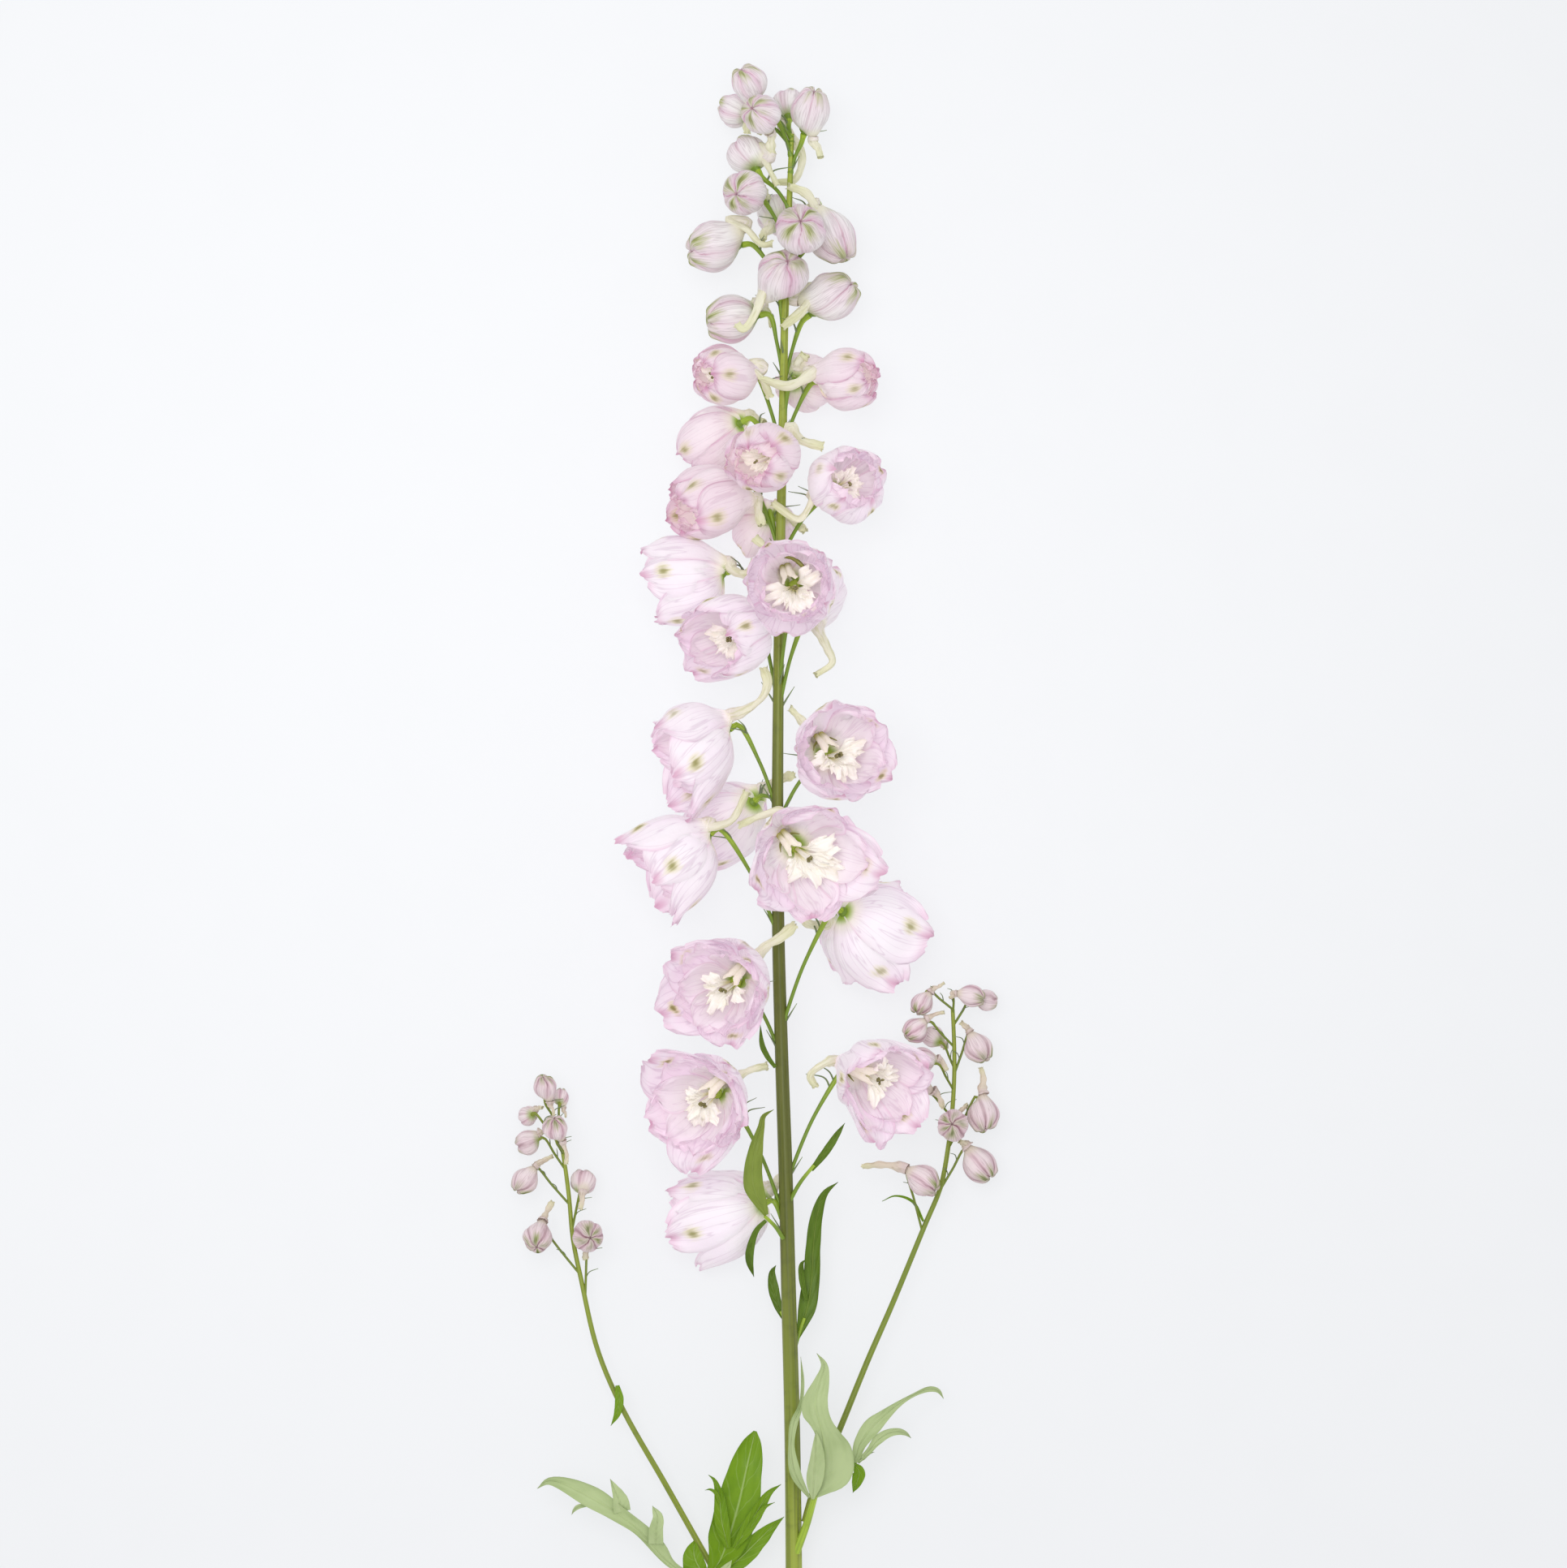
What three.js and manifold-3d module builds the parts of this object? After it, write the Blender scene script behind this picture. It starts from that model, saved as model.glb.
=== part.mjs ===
// A cut delphinium spike with pale pink flowers, lying on a surface.
// Millimetres. +Y runs along the stem to its tip, +Z is up, and the surface is the plane z = 0.
// The origin is under the middle of the whole spike.
import * as THREE from "three";
import { mergeVertices } from "three/addons/utils/BufferGeometryUtils.js";
import Module from "manifold-3d";

const wasm = await Module();
wasm.setup();

// ---------------------------------------------------------------- driving dimensions

const SEPALS = 5;
const BLADE_THICKNESS = 0.7;
const LEAF_THICKNESS = 0.8;
const NODE_GAP = 0.35; // clear space between one piece and the next

const STEM_BUTT_RADIUS = 3.6;
const STEM_TIP_RADIUS = 0.9;
const STEM_TAPER = 0.7; // below 1 the stem keeps its thickness longer
const STEM_SIDES = 6;
const STEM_RINGS = 20;

const RECEPTACLE_RISE = 0.8; // how far the receptacle stands into the flower
const RECEPTACLE_DEPTH = 2.1; // and how far behind it, towards the stalk
const PEDICEL_RADIUS = 0.85;
const PEDICEL_BEND = 3.2; // how far behind the receptacle the stalk turns into line with the flower
const PEDICEL_SIDES = 3;
const PEDICEL_RINGS = 3;
const SPUR_ROOT_RADIUS = 2.3;
const SPUR_TIP_RADIUS = 1.4;
const SPUR_START = [4.2, 2.2]; // out from the flower's axis and along it, inside the top sepal
const SPUR_NECK = [5, -0.09]; // out from the axis, and back from the flower as a share of the spur's reach
const SPUR_KNEE = [0.55, 0.08]; // share of the way to the end, and rise as a share of the reach
const CLAW_RADIUS = 1.4; // where a sepal begins, out from the flower's axis
const SEPAL_ROWS = [0.3, 0.62, 0.88]; // where a sepal bends, as shares of its length
const NARROW_MOUTH = 0.61; // below this opening a sepal is folded once lengthwise, above it twice
const SEPAL_OVERLAP = 0.2; // share by which a sepal is wider than its fifth of the ring
const SEPAL_LAY = 1; // how far one edge of a sepal is lifted and the other pressed in, to pass over and under
const BUD_GROOVE = 0.05; // depth of the furrows between a bud's sepals, as a share of its radius
const BUD_PLUMPNESS = 1.08; // makes up for the flats between a bud's few sides
const BUD_SPUR_SIZE = 0.8; // against an open flower's

const BEE_PETALS = 5;
const BEE_BASE = 3.4; // in front of the sepals' claws and clear of the spur's mouth
const BEE_LENGTH = 12;
const BEE_WALL = 0.8;
const BEE_FOOT_RADIUS = 2.2;
const BEE_WAIST_RADIUS = 3.8;
const BEE_RIM_RADIUS = 8;
const BEE_NOTCH = 0.22; // depth of the notches between its petals, as a share of its length

const BRACT_LENGTH = 11;
const BRACT_ROOT_RADIUS = 0.9;
const BRACT_TIP_RADIUS = 0.3;

const SPRAY_ROOT_RADIUS = 1.4;
const SPRAY_TIP_RADIUS = 0.8;
const SPRAY_PEDICEL_RADIUS = 0.6;
const SPRAY_PEDICEL_BEND = 2.4; // how far behind the bud its stalk turns into line with it
const SPRAY_PEDICEL_END = 1.2; // and how far it runs into the bud
const SPRAY_SPUR_SIZE = 0.55; // against an open flower's

const LEAF_STALK_RADIUS = 1.3;
const LEAF_STALK_TIP_RADIUS = 0.9;
const LEAF_HUB_RADIUS = 1.7; // the knot at the end of the stalk that the lobes leave

// The stem's centre line, butt first. It lies on the surface at the butt and is held up by the flowers.
const STEM_LINE = [
  [15.7, -360, 3.5],
  [15.7, -330, 3.5],
  [15.7, -300, 5],
  [15.4, -233, 12],
  [14.7, -175, 18.5],
  [13.4, -127, 23],
  [12.2, -79, 26],
  [10.6, -31, 28],
  [9.3, 17, 29],
  [9, 65, 29],
  [9.3, 113, 29],
  [9.9, 161, 28.5],
  [10.6, 193, 28],
  [11.2, 225, 27],
  [11.8, 257, 26],
  [13.1, 289, 25],
  [14.2, 321, 24],
  [14.7, 333, 24],
];

// The main spike's flowers, from the tip down.
// [name, centre, facing, length, width, opening, foot, end of the spur]
// opening runs from 0, a shut bud, to 1.2, wide open; foot is how far along Y its stalk leaves the stem.
const FLORETS = [
  ["bud_01", [-2, 353, 28], [-0.45, 0.8, 0.4], 14, 13.5, 0, 331, [-3, 333, 26]],
  ["bud_02", [-7.5, 343, 13], [-0.75, 0.35, -0.5], 13.5, 13, 0, 327, [2, 334, 17]],
  ["bud_03", [2.6, 340, 39], [-0.5, 0.2, 0.84], 15, 15, 0, 324, [7, 324, 30]],
  ["bud_04", [13.5, 345, 14], [0, 0.75, -0.65], 13.5, 13, 0, 329, [7.4, 314, 22]],
  ["bud_05", [22, 342, 30], [0.25, 0.9, 0.35], 17, 15, 0, 317, [26, 323, 31]],
  ["bud_06", [-3, 325, 21], [-0.45, 0.7, -0.5], 15.5, 15, 0, 303, [9, 312, 30]],
  ["bud_07", [-4, 309, 34], [-0.5, 0.12, 0.86], 17, 17, 0, 288, [5, 307, 20]],
  ["bud_08", [9, 302, 9], [-0.2, 0.45, -0.87], 17, 16, 0, 283, [3, 291, 22]],
  ["bud_09", [-16.5, 288.5, 27], [-0.97, -0.05, 0.2], 20, 19.5, 0, 268, [7, 289, 33]],
  ["bud_10", [18, 294, 45], [-0.12, 0.45, 0.88], 19.5, 19.5, 0, 274, [21, 304, 23]],
  ["bud_11", [30.5, 292, 26], [0.35, -0.85, 0.2], 21, 18, 0, 279, [13, 312, 30]],
  ["bud_12", [11, 277, 37], [0.05, 0.65, 0.75], 19, 19, 0, 244, [-7, 257, 41]],
  ["bud_13", [-9.5, 260, 26], [-0.93, -0.1, 0.1], 19.5, 18.5, 0, 236, [7, 257, 19]],
  ["bud_14", [30.5, 269, 25], [0.7, 0.6, 0.2], 20, 19, 0, 233, [11, 256, 32]],
  ["bloom_15", [-12.5, 236.5, 33], [-0.75, -0.05, 0.6], 23, 26, 0.34, 206, [6, 229, 29]],
  ["bloom_16", [37, 235.5, 33], [0.82, 0.05, 0.5], 22, 26, 0.3, 208, [2, 236, 33]],
  ["bloom_17", [19, 236, 12.4], [0.3, 0.1, -0.9], 22, 24, 0.34, 213, [20, 246, 25]],
  ["bloom_18", [-17, 214, 14], [-0.8, -0.35, -0.35], 25, 26, 0.42, 200, [4, 219, 20]],
  ["bloom_19", [4, 203, 50], [-0.35, -0.25, 0.88], 26, 30, 0.46, 194, [27, 209, 35]],
  ["bloom_20", [36.5, 194.5, 34], [0.42, 0.2, 0.88], 26, 32, 0.5, 164, [7, 187, 35]],
  ["bloom_21", [-18, 187.5, 31], [-0.86, -0.32, 0.38], 28, 31, 0.46, 166, [3, 178, 33]],
  ["bloom_22", [3.5, 178, 9.5], [-0.15, -0.35, -0.9], 22, 26, 0.45, 163, [20, 176, 22]],
  ["bloom_23", [-26, 156.5, 24], [-0.93, -0.2, -0.1], 27, 37, 0.62, 143, [0, 164, 28]],
  ["bloom_24", [15, 153.5, 58], [-0.05, -0.05, 1], 27, 37, 0.74, 112, [0, 173, 40]],
  ["bloom_25", [-8.2, 133.6, 41.5], [-0.5, -0.3, 0.8], 30, 35, 0.62, 106, [4, 153, 22]],
  ["bloom_26", [22, 150, 17], [0.15, 0.5, -0.85], 25, 29, 0.6, 104, [24, 119, 36]],
  ["bloom_27", [-22.5, 91, 34], [-0.86, -0.46, 0.25], 26, 41, 0.82, 65, [3.5, 122, 35]],
  ["bloom_28", [31, 87.5, 50], [0.22, 0, 0.95], 26, 39, 0.84, 61, [14, 106, 36]],
  ["bloom_29", [-10, 62, 13], [-0.6, -0.45, -0.65], 31, 33, 0.6, 69, [16, 80, 19]],
  ["bloom_30", [-29, 47.5, 40], [-0.79, -0.61, 0.12], 26, 40, 0.8, 18, [-3, 73, 40]],
  ["bloom_31", [17.5, 49, 56], [0.12, -0.22, 0.95], 22, 48, 1.08, 24, [-6, 60, 44]],
  ["bloom_32", [41.5, 22, 25], [0.55, -0.32, -0.77], 24, 46, 1.05, -21, [18, 27, 35]],
  ["bloom_33", [-10.5, -3, 48], [-0.25, -0.1, 0.94], 25, 43, 0.95, -31, [16, 21, 44]],
  ["bloom_34", [-20, -47, 42], [-0.42, -0.12, 0.88], 24, 46, 1.12, -98, [5, -35, 27]],
  ["bloom_35", [48, -39, 38], [0.5, -0.3, 0.8], 28, 39, 0.85, -81, [24, -43, 31]],
  ["bloom_36", [-11, -93, 14], [-0.8, -0.2, -0.5], 33, 38, 0.8, -105, [14, -76, 14]],
];

// Open flowers whose white inner petals, the "bee", show from outside.
const WITH_BEE = [
  "bloom_24",
  "bloom_25",
  "bloom_27",
  "bloom_28",
  "bloom_31",
  "bloom_33",
  "bloom_34",
  "bloom_35",
];

// Side sprays: centre line of the stalk from the main stem outwards, and its buds.
// bud: [centre, facing, length, width, foot as a share of the stalk, end of the spur]
const SPRAYS = [
  {
    name: "side_spray_left",
    line: [
      [10.6, -292, 8],
      [0, -264, 9.5],
      [-17.6, -233, 11],
      [-35, -202, 12],
      [-52.8, -170.5, 12.5],
      [-62.4, -147.5, 13],
      [-68.8, -120, 13.5],
      [-72, -104, 14],
      [-73.6, -87, 14],
      [-75.8, -71, 14],
      [-78.4, -58, 14],
    ],
    bracts: [[[-56.2, -162, 12.7], [-53.6, -168, 15.6], [-54.4, -173, 15.8], [-57, -178, 14], 1.9, 0.4, 0.3]],
    buds: [
      [[-83, -43.5, 18], [0, 0.95, 0.3], 10, 9, 1, [-79.5, -55, 19]],
      [[-77, -48, 9], [0.1, 0.7, -0.6], 7, 6.5, 0.985, [-75, -56, 11]],
      [[-90, -55.5, 9], [-0.5, -0.2, -0.8], 8, 7.5, 0.96, [-84, -52, 14]],
      [[-79, -59.5, 25], [-0.1, 0.85, 0.5], 10, 9.5, 0.95, [-74.6, -74, 21]],
      [[-90, -66, 14], [-0.9, -0.3, -0.2], 10, 9.5, 0.925, [-82, -61.5, 16]],
      [[-91, -81, 15], [-0.5, -0.75, 0.35], 11.5, 9.5, 0.87, [-80, -71, 19]],
      [[-68, -81.5, 12], [0.2, 0.7, -0.6], 10.5, 10, 0.83, [-69, -92, 19]],
      [[-86, -103.5, 18], [-0.15, -0.55, 0.8], 12, 11, 0.76, [-80, -89, 15]],
      [[-66, -102.5, 23], [0.05, 0, 1], 12, 12, 0.72, [-67, -112, 14]],
    ],
  },
  {
    name: "side_spray_right",
    line: [
      [19.8, -216, 14],
      [23.4, -203.5, 14],
      [33.6, -179.5, 14],
      [44.8, -152, 14],
      [54.4, -130, 14],
      [67.2, -99, 14],
      [73.6, -83.5, 14],
      [76.2, -70.5, 14],
      [78, -56, 14.5],
      [79, -40, 15],
      [79, -27.5, 15],
      [78.4, -13, 15],
    ],
    bracts: [[[67, -98, 14], [62.4, -89, 16], [55.6, -86.8, 17], [50.4, -89, 16], 0.8, 0.4, 0.1]],
    buds: [
      [[66, -11, 16], [-0.4, -0.85, 0.3], 9.5, 8.5, 1, [75, -2.5, 17]],
      [[86, -7.5, 20], [0.9, -0.2, 0.2], 11, 8.5, 0.99, [77, -8.5, 21]],
      [[92, -9.5, 11], [0.95, -0.2, -0.2], 9, 8.5, 0.97, [84, -8, 11]],
      [[63.5, -21.5, 19], [-0.8, -0.55, 0.2], 10, 9.5, 0.93, [75, -14, 21]],
      [[70.5, -24, 8], [-0.7, 0.5, -0.5], 9, 8.5, 0.89, [75.5, -29, 9]],
      [[88.5, -28.5, 18], [0.45, -0.8, 0.35], 12, 10.5, 0.88, [81.5, -18, 20]],
      [[66, -33, 25], [-0.9, 0.2, 0.35], 11, 10, 0.85, [76, -37, 21]],
      [[63.5, -43.5, 20], [-0.85, 0.4, 0.3], 12, 10.5, 0.8, [74.5, -52, 18]],
      [[78.4, -58.5, 26], [0.05, 0, 1], 12, 12, 0.75, [84, -51, 15]],
      [[90.5, -55, 17], [0.3, -0.9, 0.3], 14, 12, 0.74, [89.5, -36, 15]],
      [[67, -80.5, 24], [0.8, -0.5, 0.3], 14, 12, 0.58, [42.6, -75, 21]],
      [[89, -75, 15], [0.6, -0.75, 0.2], 15, 13, 0.66, [81, -65, 19]],
    ],
  },
];

// Leaves: a stalk, and lobes as [rib points from base to tip, greatest half width, where it is widest, fold].
// A positive fold lifts both margins above the rib, in millimetres.
const LEAVES = [
  {
    name: "leaf_lower",
    stalk: [
      [11.2, -302, 5],
      [0, -275, 9],
      [-12, -252, 12],
      [-19, -238, 13],
    ],
    lobes: [
      [[-19, -238, 13], [-12, -215, 19], [-5, -197, 22], [1, -180, 18], 7.4, 0.66, 1.2],
      [[-14.5, -224, 16.6], [-12, -208, 24], [-15, -200, 27], [-18, -196, 25], 3, 0.4, 0.8],
      [[-14.5, -224, 16.6], [-2, -218, 22], [5, -208, 24], [11, -201, 25], 4.2, 0.4, 0.8],
      [[-19, -238, 13], [-8, -233, 17], [4, -223, 17], [11, -215, 16], 5, 0.4, 1],
      [[-19, -238, 13], [-27, -232, 14], [-31, -224, 13], [-33, -217, 9], 6, 0.45, 0.8],
      [[-19, -238, 13], [-40, -224, 21], [-62, -208, 26], [-87, -203, 16], 7.6, 0.55, 1.6],
      [[-54, -214, 24.4], [-55, -206, 28], [-56, -201, 29], [-57, -197, 28], 4, 0.4, 0.6],
      [[-39, -225, 20.8], [-37, -217, 25], [-39, -212, 27], [-40, -209, 25], 4, 0.45, 0.6],
      [[-62, -208, 26], [-67, -210, 25], [-70, -211, 23], [-73, -213, 20], 2.4, 0.35, 0.3],
      [[-19, -238, 13], [-18, -240, 21], [-14, -237, 27], [-9, -230, 28], 3.4, 0.5, 0.6],
    ],
  },
  {
    name: "leaf_upper_right",
    stalk: [
      [20.6, -219, 17],
      [22, -212, 22],
      [24, -204, 27],
    ],
    lobes: [
      [[24, -204, 27], [27, -195, 31], [29, -186, 34], [28.5, -175, 37], 10.5, 0.42, 1.6],
      [[24, -204, 27], [29, -186, 34.4], [26, -168, 39], [25, -148, 33], 4.2, 0.45, 0.8],
      [[24, -204, 27], [16.5, -187, 33], [19, -169, 34], [19.5, -151, 26], 2.6, 0.35, 0.8],
      [[26.8, -196, 30.2], [40, -182, 28], [56, -167, 24], [75, -167.5, 11], 5.6, 0.42, 1.2],
      [[40, -182, 28], [47, -182, 27], [55, -178, 24], [62, -182, 15], 3, 0.3, 0.6],
      [[26.8, -196, 30.2], [36, -192, 27], [41, -196, 23], [39, -204, 18], 4, 0.5, 0.6],
    ],
  },
  {
    name: "bract_leaf_low",
    stalk: [
      [18.7, -141, 20],
      [20.5, -133, 19.5],
      [22.5, -127, 19],
    ],
    lobes: [
      [[21.5, -131, 19], [26.5, -112, 17], [26, -94, 20], [33.5, -81.5, 24], 3.7, 0.4, 0.9],
      [[22, -128, 19], [20.5, -118, 21], [20, -112, 23], [19.5, -107, 26], 1.9, 0.4, 0.3],
    ],
  },
  {
    name: "bract_leaf_left",
    stalk: [
      [8, -98.5, 31],
      [5.5, -96.5, 33],
      [3.5, -94.5, 35],
    ],
    lobes: [
      [[4.5, -95.5, 34], [0.8, -82, 39], [2, -66, 41], [9, -52.5, 36], 4.3, 0.3, 1],
      [[4.5, -95.5, 34], [0.5, -101, 33], [-2, -110, 27], [0, -118, 20], 2.2, 0.45, 0.4],
    ],
  },
  {
    name: "bract_leaf_right",
    stalk: [
      [16.4, -82.5, 27.5],
      [20, -78.5, 29],
      [23.5, -73.5, 30],
    ],
    lobes: [[[21.5, -76.5, 29.4], [25, -70, 31], [28, -65, 32], [32, -61, 31], 2, 0.5, 0.5]],
  },
  {
    name: "bract_leaf_back",
    stalk: [
      [9, -133, 18],
      [7.6, -127, 16],
      [7, -124, 15],
    ],
    lobes: [[[7.6, -127, 16], [6.6, -121, 14], [7, -117, 13], [8.4, -114.5, 13], 1.8, 0.45, 0.4]],
  },
];

// ---------------------------------------------------------------- materials

const material = (color, roughness) => new THREE.MeshStandardMaterial({ color, roughness, metalness: 0 });
const STEM_GREEN = material(0x74803a, 0.55);
const SPRAY_GREEN = material(0x8a9a48, 0.55);
const LEAF_GREEN = material(0x7fa03e, 0.5);
const SEPAL_PINK = material(0xefdfec, 0.6);
const BUD_PINK = material(0xdccbd2, 0.6);
const BEE_WHITE = material(0xf6f2e2, 0.6);

// ---------------------------------------------------------------- solids from geometry

const vector = ([x, y, z]) => new THREE.Vector3(x, y, z);
const mix = (a, b, share) => a.clone().lerp(b, share);

// A closed three.js geometry as a manifold-3d solid with its faces pointing out.
function solidOf(geometry) {
  const bare = new THREE.BufferGeometry().setIndex(geometry.index);
  bare.setAttribute("position", geometry.getAttribute("position"));
  const merged = mergeVertices(bare, 1e-4);
  const corners = [...merged.index.array];
  const triangles = corners.flatMap((a, i) => (i % 3 ? [] : [[a, corners[i + 1], corners[i + 2]]]));
  const faces = new Uint32Array(triangles.filter(([a, b, c]) => a !== b && b !== c && c !== a).flat());
  const make = () => {
    const vertProperties = merged.attributes.position.array;
    return new wasm.Manifold(new wasm.Mesh({ numProp: 3, vertProperties, triVerts: faces }));
  };
  const solid = make();
  if (solid.volume() > 0) return solid;
  for (let i = 0; i < faces.length; i += 3) [faces[i + 1], faces[i + 2]] = [faces[i + 2], faces[i + 1]];
  return make();
}

const joined = (solids) => solids.reduce((whole, next) => whole.add(next));

const BELOW_SURFACE = solidOf(new THREE.BoxGeometry(2000, 2000, 200).translate(0, 0, -100));

// The piece as a named mesh, pressed flat where it lies on the surface, without loose scraps.
function pieceOf(name, solid, look) {
  const pressed = solid.boundingBox().min[2] < 0 ? solid.subtract(BELOW_SURFACE) : solid;
  const bodies = pressed.decompose().sort((a, b) => b.volume() - a.volume());
  if (bodies.length > 1 && bodies[1].volume() > 1)
    throw new Error(name + " has a loose piece at " + bodies[1].boundingBox().min.map(Math.round));
  const whole = bodies[0];
  const { vertProperties, triVerts } = whole.getMesh();
  const geometry = new THREE.BufferGeometry();
  geometry.setAttribute("position", new THREE.BufferAttribute(vertProperties, 3));
  geometry.setIndex(new THREE.BufferAttribute(triVerts, 1));
  geometry.computeVertexNormals();
  const mesh = new THREE.Mesh(geometry, look);
  mesh.name = name;
  return mesh;
}

// A round stalk along a smooth line: a cylinder whose rings are set on the line and scaled.
function stalk(points, radiusAt, sides, steps) {
  const line = new THREE.CatmullRomCurve3(points, false, "centripetal");
  const { normals, binormals } = line.computeFrenetFrames(steps);
  const geometry = new THREE.CylinderGeometry(1, 1, 1, sides, steps);
  const position = geometry.getAttribute("position");
  for (let i = 0; i < position.count; i++) {
    const along = THREE.MathUtils.clamp(0.5 - position.getY(i), 0, 1);
    const ring = Math.round(along * steps);
    const radius = radiusAt(along);
    const point = line.getPointAt(along);
    point.addScaledVector(normals[ring], position.getX(i) * radius);
    point.addScaledVector(binormals[ring], position.getZ(i) * radius);
    position.setXYZ(i, point.x, point.y, point.z);
  }
  return solidOf(geometry);
}

const taper = (from, to) => (along) => from + (to - from) * along;

// The point of surface(u, v) and its normal there.
function onSurface(surface, u, v) {
  const step = 1e-3;
  const across = surface(u + step, v).sub(surface(u - step, v));
  const along = surface(u, v + step).sub(surface(u, v - step));
  return [surface(u, v), across.cross(along).normalize()];
}

// A thin blade around surface(u, v), u from -1 to 1 across it and v from 0 to 1 along it, with a row at each
// of the shares. It is drawn to a point at both ends. Its two faces are split into triangles alike, so they
// stay parallel where the blade waves.
function blade(columns, shares, surface, thickness) {
  const positions = [];
  const faces = [];
  const last = shares.length - 1;
  for (const half of [0.5, -0.5])
    shares.forEach((v, j) => {
      for (let i = 0; i <= columns; i++) {
        const u = j === 0 || j === last ? 0 : (2 * i) / columns - 1;
        const [point, normal] = onSurface(surface, u, v);
        positions.push(...point.addScaledVector(normal, half * thickness));
      }
    });
  const sideCount = positions.length / 6;
  const at = (i, j) => j * (columns + 1) + i;
  for (let j = 0; j < last; j++)
    for (let i = 0; i < columns; i++) {
      const [a, b, c, d] = [at(i, j), at(i + 1, j), at(i + 1, j + 1), at(i, j + 1)];
      faces.push(a, b, c, a, c, d);
      faces.push(a + sideCount, c + sideCount, b + sideCount, a + sideCount, d + sideCount, c + sideCount);
    }
  for (let j = 0; j < last; j++)
    for (const [p, q] of [
      [at(columns, j), at(columns, j + 1)],
      [at(0, j + 1), at(0, j)],
    ])
      faces.push(q, p, p + sideCount, q, p + sideCount, q + sideCount);
  const geometry = new THREE.BufferGeometry().setIndex(faces);
  geometry.setAttribute("position", new THREE.Float32BufferAttribute(positions, 3));
  return solidOf(geometry);
}

// ---------------------------------------------------------------- flowers

// The frame of a flower: root is its receptacle, facing its axis, and up the side that its spur is on.
function frameOf([centre, facing, length, width, spurEnd]) {
  const forward = vector(facing).normalize();
  const root = vector(centre).addScaledVector(forward, -length / 2);
  const end = vector(spurEnd);
  const up = end.clone().sub(root).normalize().add(new THREE.Vector3(0, 0.6, 0));
  up.addScaledVector(forward, -up.dot(forward)).normalize();
  const side = forward.clone().cross(up);
  return { root, forward, up, side, length, width, spurEnd: end };
}

// The point at a turn round the flower's axis, at a radius from it and a distance along it.
function around(frame, turn, radius, along) {
  const point = frame.root.clone().addScaledVector(frame.forward, along);
  point.addScaledVector(frame.up, radius * Math.cos(turn));
  return point.addScaledVector(frame.side, radius * Math.sin(turn));
}

// The spur: it leaves the back of the top sepal, clears the flower's own stalk and bends to its end.
function spur(frame, size, sides, steps) {
  const reach = frame.spurEnd.distanceTo(frame.root);
  const start = around(frame, 0, SPUR_START[0] * size, SPUR_START[1] * size);
  const neck = around(frame, 0, SPUR_NECK[0] * size, SPUR_NECK[1] * reach);
  const knee = mix(neck, frame.spurEnd, SPUR_KNEE[0]).addScaledVector(frame.up, SPUR_KNEE[1] * reach);
  const points = [start, neck, knee, frame.spurEnd];
  return stalk(points, taper(SPUR_ROOT_RADIUS * size, SPUR_TIP_RADIUS * size), sides, steps);
}

// A shut bud: an egg with a furrow between each two sepals.
function bud(frame, sides, rows) {
  const geometry = new THREE.SphereGeometry(1, sides, rows);
  const position = geometry.getAttribute("position");
  for (let i = 0; i < position.count; i++) {
    const turn = Math.atan2(position.getX(i), position.getZ(i));
    const ring = Math.hypot(position.getX(i), position.getZ(i));
    const furrow = BUD_PLUMPNESS * (1 - BUD_GROOVE * (1 - Math.cos(SEPALS * turn)));
    const along = (frame.length / 2) * (1 + position.getY(i));
    const point = around(frame, turn, (frame.width / 2) * ring * furrow, along);
    position.setXYZ(i, point.x, point.y, point.z);
  }
  return solidOf(geometry);
}

// One sepal of an opening or open flower: a spoon bent round the flower's axis, over one neighbour and under
// the next.
function sepalSurface(frame, opening, turn) {
  const sweep = Math.PI * (1 - opening / 2);
  const widest = sweep > Math.PI / 2 ? 1 : Math.sin(sweep);
  const belly = (frame.width / 2 - CLAW_RADIUS) / widest;
  const depth = frame.length / (1 - Math.cos(sweep));
  const halfAngle = (Math.PI / SEPALS) * (1 + SEPAL_OVERLAP);
  const blunt = Math.min(1, opening * 1.15) * 0.88;
  return (u, v) => {
    const lean = sweep * v;
    const lay = SEPAL_LAY * u * Math.min(1, 4 * v);
    const outward = new THREE.Vector2(depth * Math.sin(lean), -belly * Math.cos(lean)).normalize();
    const radius = CLAW_RADIUS + belly * Math.sin(lean) + lay * outward.x;
    const along = depth * (1 - Math.cos(lean)) + lay * outward.y;
    const beyond = Math.max(0, (v - 0.5) / 0.5);
    const narrowing = Math.sqrt(Math.max(0.05, 1 - blunt * beyond ** 2));
    return around(frame, turn + u * halfAngle * narrowing, radius, along);
  };
}

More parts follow.
